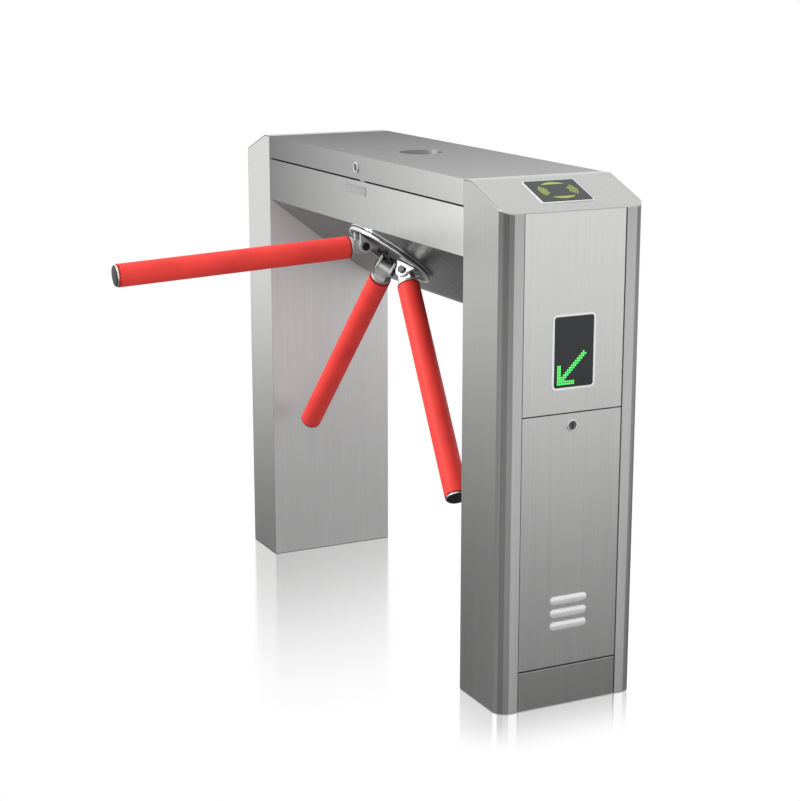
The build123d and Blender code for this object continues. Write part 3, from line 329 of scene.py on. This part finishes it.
steel_tone = (0.66, 0.66, 0.655)
upright_brush = (420.0, 420.0, 2.5)
upright_steel = brushed_steel("upright_brushed_steel", steel_tone, upright_brush)
# The near pillar's front face gets a darker copy of the steel: painted shade.
front_shade_steel = brushed_steel("front_painted_shade_steel", [0.80 * part for part in steel_tone], upright_brush)
pillar_top = 0.9
# The far pillar's inner face gets a paler, less metallic copy of the steel as painted light, painted darker
# towards the bottom as painted shade.
inner_light_shade_steel = brushed_steel(
    "inner_painted_light_and_shade_steel", (0.97, 0.97, 0.965), upright_brush, 0.4, ("Z", 0.0, pillar_top, 0.8, 1.0), 0.45
)
# The strips at the pillars' outer ends get a paler copy of the steel as painted light, painted darker towards
# the top as painted shade.
end_strip_light_shade_steel = brushed_steel(
    "end_strip_painted_light_and_shade_steel", (1.0, 1.0, 0.995), upright_brush, 0.4, ("Z", 0.0, pillar_top, 0.98, 0.47)
)
lock_proud, within = 0.004, 0.001
end_face = cad_box[1].x - lock_proud
fold_radius = 0.0005
near_sheet = with_broken_edges("near_pillar_shell", "near_pillar_sheet", fold_radius, upright_steel)
far_sheet = with_broken_edges("far_pillar_shell", "far_pillar_sheet", fold_radius, upright_steel)
# Painted light and shade on the pillars' end strips.
for sheet in (near_sheet, far_sheet):
    finish_faces(
        sheet, end_strip_light_shade_steel, lambda face: abs(face.normal.x) > 0.98 and abs(face.center.x) > end_face - within
    )
# Painted shade on the near pillar's front face.
finish_faces(near_sheet, front_shade_steel, lambda face: face.normal.y < -0.98)
# Painted light and shade on the far pillar's inner face.
finish_faces(far_sheet, inner_light_shade_steel, lambda face: face.normal.x > 0.98)
# The rounded corners get three copies of the steel, painted lighter and darker band by band after the way
# each band faces, and darker towards the top: painted light and shade.
for share, low, high in ((0.95, 0.84, 0.98), (0.66, 0.5, 0.84), (0.95, 0.2, 0.5)):
    corner_light_shade_steel = brushed_steel(
        "corner_painted_light_and_shade_steel",
        [share * part for part in steel_tone],
        upright_brush,
        0.33,
        ("Z", 0.0, pillar_top, 1.0, 0.3),
    )
    for sheet in (near_sheet, far_sheet):
        finish_faces(
            sheet, corner_light_shade_steel, lambda face: low < abs(face.normal.y) < high and abs(face.normal.z) < 0.1
        )

# ---- Caps ----
# One plate of 2 mm on each pillar, bent once, brushed down its slope and welded on.
# The faces of its front and back edges are painted dark as painted shade, and its corners are rounded over.
cap_steel = brushed_steel("cap_brushed_steel", (0.57, 0.57, 0.565), (2.5, 420.0, 2.5))
cap_edge_shade_steel = brushed_steel("cap_edge_painted_shade_steel", (0.12, 0.12, 0.12), (2.5, 420.0, 2.5), 0.4)
caps = with_broken_edges("cap_plates", "cap_sheets", 0.0007, cap_steel, 3, 12)
# Painted shade on the cap's front and back edge faces.
finish_faces(caps, cap_edge_shade_steel, lambda face: abs(face.normal.y) > 0.95)

# ---- End panels, kick plates and doors ----
# Shallow trays of the same sheet, with turned edges. The panels and kick plates sit
# on the pillar's inner seats, and the doors tilt out on two pins.
panel_steel = brushed_steel("panel_brushed_steel", (0.71, 0.71, 0.705), upright_brush)
kick_steel = brushed_steel("kick_brushed_steel", (0.56, 0.56, 0.555), upright_brush)
for node in ("near_upper_panel", "far_upper_panel", "near_door_panel", "far_door_panel"):
    with_broken_edges(node, node + "_sheet", 0.0005, panel_steel)
with_broken_edges("kick_plates", "kick_plate_sheets", 0.0008, kick_steel)


# ---- Vent hoods ----
# Three pressed hoods in each door, polished bright, long and rounded like pillows.
# They are riveted over the slots from inside.
def polished_metal(name, tone, roughness, scratch=0.04, metallic=1.0):
    """Polished metal with faint scratches and smudges."""
    metal = bpy.data.materials.new(name)
    metal.use_nodes = True
    nodes, links = metal.node_tree.nodes, metal.node_tree.links
    shader = nodes["Principled BSDF"]
    shader.inputs["Metallic"].default_value = metallic
    where = nodes.new("ShaderNodeTexCoord")
    smudge = nodes.new("ShaderNodeTexNoise")
    smudge.inputs["Scale"].default_value = 90.0
    smudge.inputs["Detail"].default_value = 6.0
    links.new(where.outputs["Object"], smudge.inputs["Vector"])
    colour = nodes.new("ShaderNodeValToRGB")
    colour.color_ramp.elements[0].position = 0.3
    colour.color_ramp.elements[1].position = 0.7
    colour.color_ramp.elements[0].color = [0.9 * part for part in tone] + [1.0]
    colour.color_ramp.elements[1].color = list(tone) + [1.0]
    links.new(smudge.outputs["Fac"], colour.inputs["Fac"])
    links.new(colour.outputs["Color"], shader.inputs["Base Color"])
    rough = nodes.new("ShaderNodeMapRange")
    rough.inputs["To Min"].default_value = roughness
    rough.inputs["To Max"].default_value = roughness + 0.12
    links.new(smudge.outputs["Fac"], rough.inputs["Value"])
    links.new(rough.outputs["Result"], shader.inputs["Roughness"])
    fine = nodes.new("ShaderNodeTexNoise")
    fine.inputs["Scale"].default_value = 700.0
    fine.inputs["Detail"].default_value = 3.0
    links.new(where.outputs["Object"], fine.inputs["Vector"])
    bump = nodes.new("ShaderNodeBump")
    bump.inputs["Strength"].default_value = scratch
    bump.inputs["Distance"].default_value = 0.0002
    links.new(fine.outputs["Fac"], bump.inputs["Height"])
    links.new(bump.outputs["Normal"], shader.inputs["Normal"])
    return metal


def settle(piece, matrix):
    """Puts a finished mesh in its place and leaves its object at the origin."""
    piece.matrix_world = matrix
    bpy.ops.object.select_all(action="DESELECT")
    piece.select_set(True)
    bpy.context.view_layer.objects.active = piece
    bpy.ops.object.transform_apply(location=True, rotation=True, scale=True)


def join(name, pieces):
    """Joins like pieces into one."""
    bpy.ops.object.select_all(action="DESELECT")
    for piece in pieces:
        piece.select_set(True)
    bpy.context.view_layer.objects.active = pieces[0]
    bpy.ops.object.join()
    pieces[0].name = name
    return pieces[0]


hood_steel = polished_metal("hood_polished_steel", (0.93, 0.93, 0.93), 0.16, 0.04, 0.3)
hood_length, hood_height, hood_proud = 0.077, 0.016, 0.0045
hood_pitch = (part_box("near_vent_hoods")[1].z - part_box("near_vent_hoods")[0].z - hood_height) / 2
for end, side in (("near", 1), ("far", -1)):
    low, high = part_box(end + "_vent_hoods")
    hoods = []
    for row in range(3):
        bpy.ops.object.select_all(action="DESELECT")
        bpy.ops.mesh.primitive_uv_sphere_add(segments=48, ring_count=24, radius=hood_height / 2)
        hood = bpy.context.active_object
        for half in (-1, 1):
            edit_alone(hood)
            for point in hood.data.vertices:
                point.select = half * point.co.y > 0.0001
            bpy.ops.object.mode_set(mode="EDIT")
            bpy.ops.transform.translate(value=(0, half * (hood_length - hood_height) / 2, 0))
            bpy.ops.object.mode_set(mode="OBJECT")
        edit_alone(hood)
        bpy.ops.object.mode_set(mode="EDIT")
        bpy.ops.mesh.select_all(action="SELECT")
        bpy.ops.mesh.bisect(plane_co=(0, 0, 0), plane_no=(side, 0, 0), use_fill=True, clear_inner=True)
        bpy.ops.object.mode_set(mode="OBJECT")
        bpy.ops.object.shade_smooth_by_angle(angle=math.radians(40))
        foot = low.x if side > 0 else high.x
        spot = Matrix.Translation((foot, 0, low.z + hood_height / 2 + row * hood_pitch))
        settle(hood, spot @ Matrix.Diagonal((2 * hood_proud / hood_height, 1, 1, 1)))
        hoods.append(hood)
    hood = join(end + "_vents", hoods)
    hood.data.materials.append(hood_steel)
    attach(hood, end + "_door")
    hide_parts(end + "_vent_hoods")

# ---- Locks ----
# Cam locks: a fixed chromed barrel with a round rim, and a dark steel plug with a slot
# that turns in it.
chrome = polished_metal("lock_chrome", (0.86, 0.87, 0.88), 0.09)
for node in ("near_door_lock_sleeve", "far_door_lock_sleeve", "lid_lock_sleeve"):
    with_broken_edges(node, node.replace("sleeve", "barrel"), 0.0007, chrome, 3)
plug_steel = polished_metal("plug_dark_steel", (0.16, 0.16, 0.165), 0.25)
for node in ("near_door_lock_plug", "far_door_lock_plug", "lid_lock_plug"):
    with_broken_edges(node, node + "_turned", 0.0003, plug_steel)


# ---- Card reader ----
# A black moulded pad in a thin white frame, let into the slope of the near cap.
# Its printed marks are plain lenses and waves, and its housing hangs under the cap.
def moulded(name, tone, roughness, grain=300.0, depth=0.15):
    """Moulded plastic or rubber with a fine grain and slightly uneven gloss."""
    plastic = bpy.data.materials.new(name)
    plastic.use_nodes = True
    nodes, links = plastic.node_tree.nodes, plastic.node_tree.links
    shader = nodes["Principled BSDF"]
    where = nodes.new("ShaderNodeTexCoord")
    fine = nodes.new("ShaderNodeTexNoise")
    fine.inputs["Scale"].default_value = grain
    fine.inputs["Detail"].default_value = 4.0
    links.new(where.outputs["Object"], fine.inputs["Vector"])
    cloud = nodes.new("ShaderNodeTexNoise")
    cloud.inputs["Scale"].default_value = 14.0
    cloud.inputs["Detail"].default_value = 3.0
    links.new(where.outputs["Object"], cloud.inputs["Vector"])
    colour = nodes.new("ShaderNodeValToRGB")
    colour.color_ramp.elements[0].position = 0.3
    colour.color_ramp.elements[1].position = 0.7
    colour.color_ramp.elements[0].color = [0.9 * part for part in tone] + [1.0]
    colour.color_ramp.elements[1].color = [min(1.0, 1.08 * part) for part in tone] + [1.0]
    links.new(cloud.outputs["Fac"], colour.inputs["Fac"])
    links.new(colour.outputs["Color"], shader.inputs["Base Color"])
    rough = nodes.new("ShaderNodeMapRange")
    rough.inputs["To Min"].default_value = roughness - 0.05
    rough.inputs["To Max"].default_value = roughness + 0.07
    links.new(cloud.outputs["Fac"], rough.inputs["Value"])
    links.new(rough.outputs["Result"], shader.inputs["Roughness"])
    bump = nodes.new("ShaderNodeBump")
    bump.inputs["Strength"].default_value = depth
    bump.inputs["Distance"].default_value = 0.0002
    links.new(fine.outputs["Fac"], bump.inputs["Height"])
    links.new(bump.outputs["Normal"], shader.inputs["Normal"])
    return plastic


def dress(material, *names):
    """Gives CAD parts whose shape is right their finish."""
    for name in names:
        frame["nodes"][name].data.materials.clear()
        frame["nodes"][name].data.materials.append(material)


reader_black = moulded("reader_black", (0.012, 0.013, 0.015), 0.3, 500.0, 0.08)
dress(reader_black, "reader_face")
black_moulding = moulded("black_moulding", (0.02, 0.02, 0.022), 0.45)
dress(black_moulding, "reader_housing", "rotary_damper", "position_sensor")
dress(moulded("light_trim", (0.92, 0.93, 0.93), 0.35), "reader_and_display_bezels")

slope_drop, slope_run = 0.045, 0.120
cap_slope = math.atan2(slope_drop, slope_run)
pad_length, pad_thick = 0.077, 0.0025
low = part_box("reader_face")[0]
pad_foot = Vector((low.x, 0, low.z)) + pad_length / 2 * Vector((math.cos(cap_slope), 0, math.sin(cap_slope)))
pad_up = Vector((math.sin(cap_slope), 0, math.cos(cap_slope)))
pad_place = Matrix.Translation(pad_foot + pad_up * pad_thick) @ Matrix.Rotation(cap_slope, 4, "Y")
print_green = moulded("reader_print", (0.42, 0.52, 0.06), 0.35, 400.0, 0.05)
print_thick = 0.0002
marks = []
lens_bend, lens_middle, lens_edge = 0.040, 0.0095, 0.0320
for half in (-1, 1):
    bpy.ops.object.select_all(action="DESELECT")
    bpy.ops.mesh.primitive_cylinder_add(vertices=128, radius=lens_bend, depth=print_thick)
    lens = bpy.context.active_object
    bpy.ops.object.mode_set(mode="EDIT")
    bpy.ops.mesh.select_all(action="SELECT")
    bpy.ops.mesh.bisect(
        plane_co=(half * lens_edge, 0, 0), plane_no=(half, 0, 0), use_fill=True, clear_inner=True
    )
    bpy.ops.object.mode_set(mode="OBJECT")
    settle(lens, pad_place @ Matrix.Translation((-half * lens_middle, 0, 0)))
    marks.append(lens)
wave_middle, wave_start, wave_step, wave_width = 0.012, 0.012, 0.0042, 0.0022
wave_spread = math.radians(84)
for half in (-1, 1):
    for ring in range(4):
        bpy.ops.object.select_all(action="DESELECT")
        bpy.ops.mesh.primitive_plane_add(size=1.0, rotation=(0, math.radians(90), 0))
        wave = bpy.context.active_object
        wave.scale = (print_thick, wave_width, 1)
        bpy.ops.object.transform_apply(rotation=True, scale=True)
        reach = wave_start + ring * wave_step
        bpy.ops.object.mode_set(mode="EDIT")
        bpy.ops.mesh.select_all(action="SELECT")
        bpy.ops.transform.translate(value=(0, reach, 0))
        bpy.ops.mesh.spin(steps=18, angle=wave_spread, center=(0, 0, 0), axis=(0, 0, 1))
        bpy.ops.mesh.select_all(action="SELECT")
        bpy.ops.mesh.remove_doubles(threshold=0.000001)
        bpy.ops.mesh.normals_make_consistent(inside=False)
        bpy.ops.object.mode_set(mode="OBJECT")
        settle(
            wave,
            pad_place
            @ Matrix.Translation((0, half * wave_middle, 0))
            @ Matrix.Rotation(0.0 if half > 0 else math.pi, 4, "Z")
            @ Matrix.Rotation(wave_spread / 2, 4, "Z"),
        )
        marks.append(wave)
marks = join("reader_marks", marks)
marks.data.materials.append(print_green)
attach(marks, "cabinet")

# ---- Direction display ----
# A smoked window with a lit arrow of round lamps behind it. The arrow points down
# and towards the arms' side.
dress(moulded("display_black", (0.016, 0.017, 0.019), 0.2, 60.0, 0.02), "display_glass")
lit = bpy.data.materials.new("green_lamp")
lit.use_nodes = True
nodes, links = lit.node_tree.nodes, lit.node_tree.links
shader = nodes["Principled BSDF"]
shader.inputs["Base Color"].default_value = (0.02, 0.6, 0.08, 1.0)
shader.inputs["Roughness"].default_value = 0.3
where = nodes.new("ShaderNodeTexCoord")
speckle = nodes.new("ShaderNodeTexNoise")
speckle.inputs["Scale"].default_value = 260.0
links.new(where.outputs["Object"], speckle.inputs["Vector"])
glow = nodes.new("ShaderNodeValToRGB")
glow.color_ramp.elements[0].position = 0.35
glow.color_ramp.elements[1].position = 0.65
glow.color_ramp.elements[0].color = (0.02, 0.72, 0.08, 1.0)
glow.color_ramp.elements[1].color = (0.14, 1.0, 0.22, 1.0)
links.new(speckle.outputs["Fac"], glow.inputs["Fac"])
links.new(glow.outputs["Color"], shader.inputs["Emission Color"])
shader.inputs["Emission Strength"].default_value = 1.1
low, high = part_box("display_glass")
lamp_pitch, lamp_radius = 0.0040, 0.0018
lamp_in, lamp_up, lamp_flat = 0.0085, 0.0065, 0.25
lamp_corner = (low.y + lamp_in, low.z + lamp_up)
head_lamps, shaft_lamps = 9, 14
spots = set()
for step in range(head_lamps):
    for beside in (0, 1):
        spots.add((beside, step))
        spots.add((step, beside))
for step in range(shaft_lamps):
    spots.update(((step, step), (step + 1, step), (step, step + 1)))
lamps = []
for column, row in sorted(spots):
    bpy.ops.object.select_all(action="DESELECT")
    bpy.ops.mesh.primitive_uv_sphere_add(segments=10, ring_count=6, radius=lamp_radius)
    lamp = bpy.context.active_object
    bpy.ops.object.mode_set(mode="EDIT")
    bpy.ops.mesh.select_all(action="SELECT")
    bpy.ops.mesh.bisect(plane_co=(0, 0, 0), plane_no=(1, 0, 0), use_fill=True, clear_inner=True)
    bpy.ops.object.mode_set(mode="OBJECT")
    bpy.ops.object.shade_smooth_by_angle(angle=math.radians(60))
    spot = (high.x, lamp_corner[0] + column * lamp_pitch, lamp_corner[1] + row * lamp_pitch)
    settle(lamp, Matrix.Translation(spot) @ Matrix.Diagonal((lamp_flat, 1, 1, 1)))
    lamps.append(lamp)
lamps = join("display_arrow", lamps)
lamps.data.materials.append(lit)
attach(lamps, "cabinet")

# ---- Bridge ----
# One sheet rolled round the mechanism: an upright front, a sloped underside finished smoother
# and painted darker as painted shade, and a back. It bolts to the pillars through flat end frames.
bridge_brush = (420.0, 2.5, 2.5)
bridge_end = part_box("bridge_body")[1].x
# The bridge's steel is painted darker towards the far pillar: painted shade.
bridge_shade_steel = brushed_steel(
    "bridge_painted_shade_steel", (0.76, 0.76, 0.755), bridge_brush, 0.36, ("X", -bridge_end, bridge_end, 0.25, 1.0)
)
# The underside's steel is painted dark as painted shade, and darker still towards the near pillar.
belly_shade_steel = brushed_steel(
    "belly_smooth_painted_shade_steel",
    (0.28, 0.28, 0.283),
    bridge_brush,
    0.28,
    ("X", -bridge_end, bridge_end, 1.0, 0.06),
    1.0,
)
bridge = with_broken_edges("bridge_body", "bridge_sheet", 0.0005, bridge_shade_steel)
top_flange = 0.02
top_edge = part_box("bridge_body")[1].z - top_flange
# Painted shade on the underside's faces.
finish_faces(bridge, belly_shade_steel, lambda face: face.normal.z < -0.1 and face.center.z < top_edge)
badge_steel = brushed_steel("badge_satin_steel", (0.42, 0.42, 0.418), bridge_brush, 0.33)
with_broken_edges("badge_plate", "badge_blank", 0.0003, badge_steel)

# ---- Lid ----
# A box of the same sheet, open below, on two butt hinges at the back. A blank cup
# closes the round hole in its top.
# The lid's steel is painted darker towards the far pillar, and its top much darker than its sides: painted
# shade.
lid_lip_shade_steel = brushed_steel(
    "lid_lip_painted_shade_steel", (0.60, 0.60, 0.597), bridge_brush, 0.36, ("X", -bridge_end, bridge_end, 0.26, 1.0)
)
lid_top_shade_steel = brushed_steel(
    "lid_top_painted_shade_steel", (0.34, 0.34, 0.338), bridge_brush, 0.45, ("X", -bridge_end, bridge_end, 0.22, 1.0)
)
lid_sheet = with_broken_edges("lid_panel", "lid_sheet", 0.0008, lid_lip_shade_steel)
# Painted shade on the lid's top.
finish_faces(lid_sheet, lid_top_shade_steel, lambda face: face.normal.z > 0.98)
cup_steel = brushed_steel("cup_satin_steel", (0.24, 0.24, 0.24), (60.0, 60.0, 60.0), 0.42)
with_broken_edges("lid_blanking_cup", "lid_cup", 0.0005, cup_steel)
hinge_steel = brushed_steel("hinge_satin_steel", (0.6, 0.6, 0.6), (40.0, 160.0, 160.0), 0.3)
with_broken_edges("lid_hinge_fixed_leaves_and_pins", "hinge_fixed_leaves", 0.0003, hinge_steel)
with_broken_edges("lid_hinge_lid_leaves", "hinge_lid_leaves", 0.0003, hinge_steel)

# ---- Fixings, feet and brackets ----
# Zinc-plated bolts and bent brackets, and steel plates under the pillars with rubber
# grommets where cables come up.
zinc = polished_metal("zinc_plate", (0.66, 0.67, 0.66), 0.3, 0.1)
dress(zinc, "cabinet_fasteners", "door_pivot_pins", "lid_strike", "mechanism_plate",
      "mechanism_brackets", "shaft_nut_and_spacer")
satin = brushed_steel("plate_satin_steel", (0.55, 0.55, 0.55), (60.0, 60.0, 60.0), 0.4)
dress(satin, "foot_plates", "bridge_end_frames")
dress(moulded("grommet_rubber", (0.02, 0.02, 0.02), 0.7), "cable_grommets")

# ---- Electronics ----
# A control board on spacers and a vented power supply on the back wall, and the
# display's own board.
dress(moulded("board_green", (0.03, 0.16, 0.07), 0.4, 120.0, 0.2), "control_board", "display_board")
dress(brushed_steel("supply_aluminium", (0.72, 0.73, 0.74), (20.0, 300.0, 300.0), 0.38), "power_supply")

# ---- Mechanism ----
# A cast housing with two bearings, and the shaft, wheel and encoder that turn in it.
# A solenoid drives the lock bolt, and a damper slows the shaft.
dress(moulded("cast_iron_paint", (0.12, 0.13, 0.14), 0.55, 90.0, 0.5), "bearing_housing", "lock_solenoid")
machined = brushed_steel("machined_steel", (0.62, 0.62, 0.62), (90.0, 90.0, 90.0), 0.26)
dress(machined, "main_shaft", "index_wheel", "lock_bolt", "side_arm_tubes", "arm_1_tube")
dress(chrome, "bearing_outer_rings", "bearing_inner_rings")
dress(brushed_steel("encoder_aluminium", (0.75, 0.75, 0.76), (120.0, 120.0, 120.0), 0.3), "encoder_disc")

# ---- Hub ----
# A turned steel disc with a polished rim in front of a thin trim ring. Three pairs
# of cast ears carry the arms on black through bolts.
rim_width, step_width, step_depth = 0.003, 0.0008, 0.0012
# The disc's face inside its rim is painted dark: painted shade.
disc_face_shade_steel = brushed_steel("disc_face_painted_shade_steel", (0.10, 0.10, 0.105), (60.0, 60.0, 60.0), 0.34)
disc = with_broken_edges("hub_disc", "hub_turned_disc", 0.0002, chrome, 2, 60)
disc.data.materials.append(disc_face_shade_steel)
joints = {joint["name"]: joint for joint in frame["joints"]}
hub_place = Vector(joints["tripod_spin"]["pos_m"])
hub_out = Vector(joints["tripod_spin"]["axis"]).normalized()
edit_alone(disc)
for face in disc.data.polygons:
    face.select = len(face.vertices) > 24 and face.normal.dot(hub_out) > 0.9
bpy.ops.object.mode_set(mode="EDIT")
bpy.ops.mesh.select_mode(type="FACE")
bpy.ops.mesh.inset(thickness=rim_width)
bpy.ops.mesh.inset(thickness=step_width, depth=-step_depth)
bpy.ops.object.mode_set(mode="OBJECT")
# Painted shade on the disc's face.
for face in disc.data.polygons:
    face.material_index = 1 if face.select else 0
dress(chrome, "hub_trim_ring")
ear_steel = brushed_steel("ear_cast_steel", (0.74, 0.74, 0.73), (60.0, 60.0, 60.0), 0.42, None, 0.8)
with_broken_edges("bracket_ears", "ears", 0.0012, ear_steel, 3)
bolt_black = polished_metal("bolt_black_steel", (0.07, 0.07, 0.075), 0.3)
with_broken_edges("rotor_fasteners", "hub_and_pivot_bolts", 0.0004, bolt_black)

# ---- Arms ----
# Each arm is a steel root and tube in a red moulded sleeve, closed by a dark cap
# with a bright ring. Arm 1 can drop about its pivot bolt.
with_broken_edges("arm_1_root", "arm_1_root_casting", 0.0012, ear_steel, 3)
with_broken_edges("side_arm_roots", "side_arm_root_castings", 0.0012, ear_steel, 3)
sleeve_red = moulded("sleeve_red", (0.93, 0.058, 0.048), 0.5, 260.0, 0.12)
sleeve_red.node_tree.nodes["Principled BSDF"].inputs["Specular IOR Level"].default_value = 0.25
cap_dark = moulded("cap_dark", (0.012, 0.012, 0.013), 0.5)
pivot_1 = Vector(joints["arm_1_drop"]["pos_m"])
along_1 = Vector(joints["arm_1_drop"]["axis"]).normalized()
radial_1 = hub_out.cross(along_1).normalized()
arm_cone = math.radians(49.5)
pointing_1 = hub_out * math.cos(arm_cone) + radial_1 * math.sin(arm_cone)
sleeve_start, sleeve_end, sleeve_radius, bore_radius = 0.030, 0.506, 0.0225, 0.0190
arm_tip = 0.512
cap_inset, cap_depth, cap_middle = 0.0022, 0.010, 0.0066
ring_inset, ring_wire = 0.0021, 0.0014
for number, body in ((1, "arm_1"), (2, "rotor"), (3, "rotor")):
    turn = Matrix.Rotation(math.radians(120 * (number - 1)), 3, hub_out)
    pivot = hub_place + turn @ (pivot_1 - hub_place)
    pointing = turn @ pointing_1
    stand = Matrix.Translation(pivot) @ pointing.to_track_quat("Z", "Y").to_matrix().to_4x4()

    bpy.ops.object.select_all(action="DESELECT")
    bpy.ops.mesh.primitive_cylinder_add(
        vertices=96, radius=sleeve_radius, depth=sleeve_end - sleeve_start,
        location=(0, 0, (sleeve_start + sleeve_end) / 2),
    )
    sleeve = bpy.context.active_object
    sleeve.name = f"arm_{number}_red_sleeve"
    bpy.ops.object.transform_apply(location=True)
    edit_alone(sleeve)
    for face in sleeve.data.polygons:
        face.select = len(face.vertices) > 4
    bpy.ops.object.mode_set(mode="EDIT")
    bpy.ops.mesh.select_mode(type="FACE")
    bpy.ops.mesh.inset(thickness=sleeve_radius - bore_radius, use_individual=True)
    bpy.ops.mesh.delete(type="FACE")
    bpy.ops.mesh.select_mode(type="EDGE")
    bpy.ops.mesh.select_non_manifold()
    bpy.ops.mesh.bridge_edge_loops()
    bpy.ops.object.mode_set(mode="OBJECT")
    rim = sleeve.modifiers.new("rim", "BEVEL")
    rim.width = 0.0016
    rim.segments = 4
    rim.limit_method = "ANGLE"
    rim.angle_limit = math.radians(50)
    bpy.ops.object.modifier_apply(modifier="rim")
    bpy.ops.object.shade_smooth_by_angle(angle=math.radians(35))
    settle(sleeve, stand)
    sleeve.data.materials.append(sleeve_red)
    sleeve.visible_glossy = False
    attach(sleeve, body)

    bpy.ops.object.select_all(action="DESELECT")
    bpy.ops.mesh.primitive_cylinder_add(
        vertices=96, radius=sleeve_radius - cap_inset, depth=cap_depth, location=(0, 0, arm_tip - cap_middle)
    )
    cap = bpy.context.active_object
    cap.name = f"arm_{number}_cap"
    bpy.ops.object.transform_apply(location=True)
    edit_alone(cap)
    for face in cap.data.polygons:
        face.select = len(face.vertices) > 4 and face.center.z > arm_tip - 0.004
    bpy.ops.object.mode_set(mode="EDIT")
    bpy.ops.mesh.select_mode(type="FACE")
    for inward, outward in ((0.0012, 0.0009), (0.0030, 0.0006), (0.0060, 0.0001)):
        bpy.ops.mesh.inset(thickness=inward)
        bpy.ops.transform.translate(value=(0, 0, outward))
    bpy.ops.object.mode_set(mode="OBJECT")
    bpy.ops.object.shade_smooth_by_angle(angle=math.radians(50))
    settle(cap, stand)
    cap.data.materials.append(cap_dark)
    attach(cap, body)

    bpy.ops.object.select_all(action="DESELECT")
    bpy.ops.mesh.primitive_torus_add(
        major_segments=96,
        minor_segments=12,
        major_radius=sleeve_radius - ring_inset,
        minor_radius=ring_wire,
        location=(0, 0, sleeve_end + ring_wire),
    )
    ring = bpy.context.active_object
    ring.name = f"arm_{number}_ring"
    bpy.ops.object.transform_apply(location=True)
    edit_alone(ring)
    for point in ring.data.vertices:
        point.select = point.co.z > sleeve_end + 0.0014
    bpy.ops.object.mode_set(mode="EDIT")
    bpy.ops.transform.translate(value=(0, 0, 0.0008))
    bpy.ops.object.mode_set(mode="OBJECT")
    bpy.ops.object.shade_smooth()
    settle(ring, stand)
    ring.data.materials.append(chrome)
    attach(ring, body)
    if number == 1:
        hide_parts("arm_1_sleeve")
        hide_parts("arm_1_end_cap")
    if number == 2:
        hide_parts("side_arm_sleeves")
        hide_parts("side_arm_end_caps")
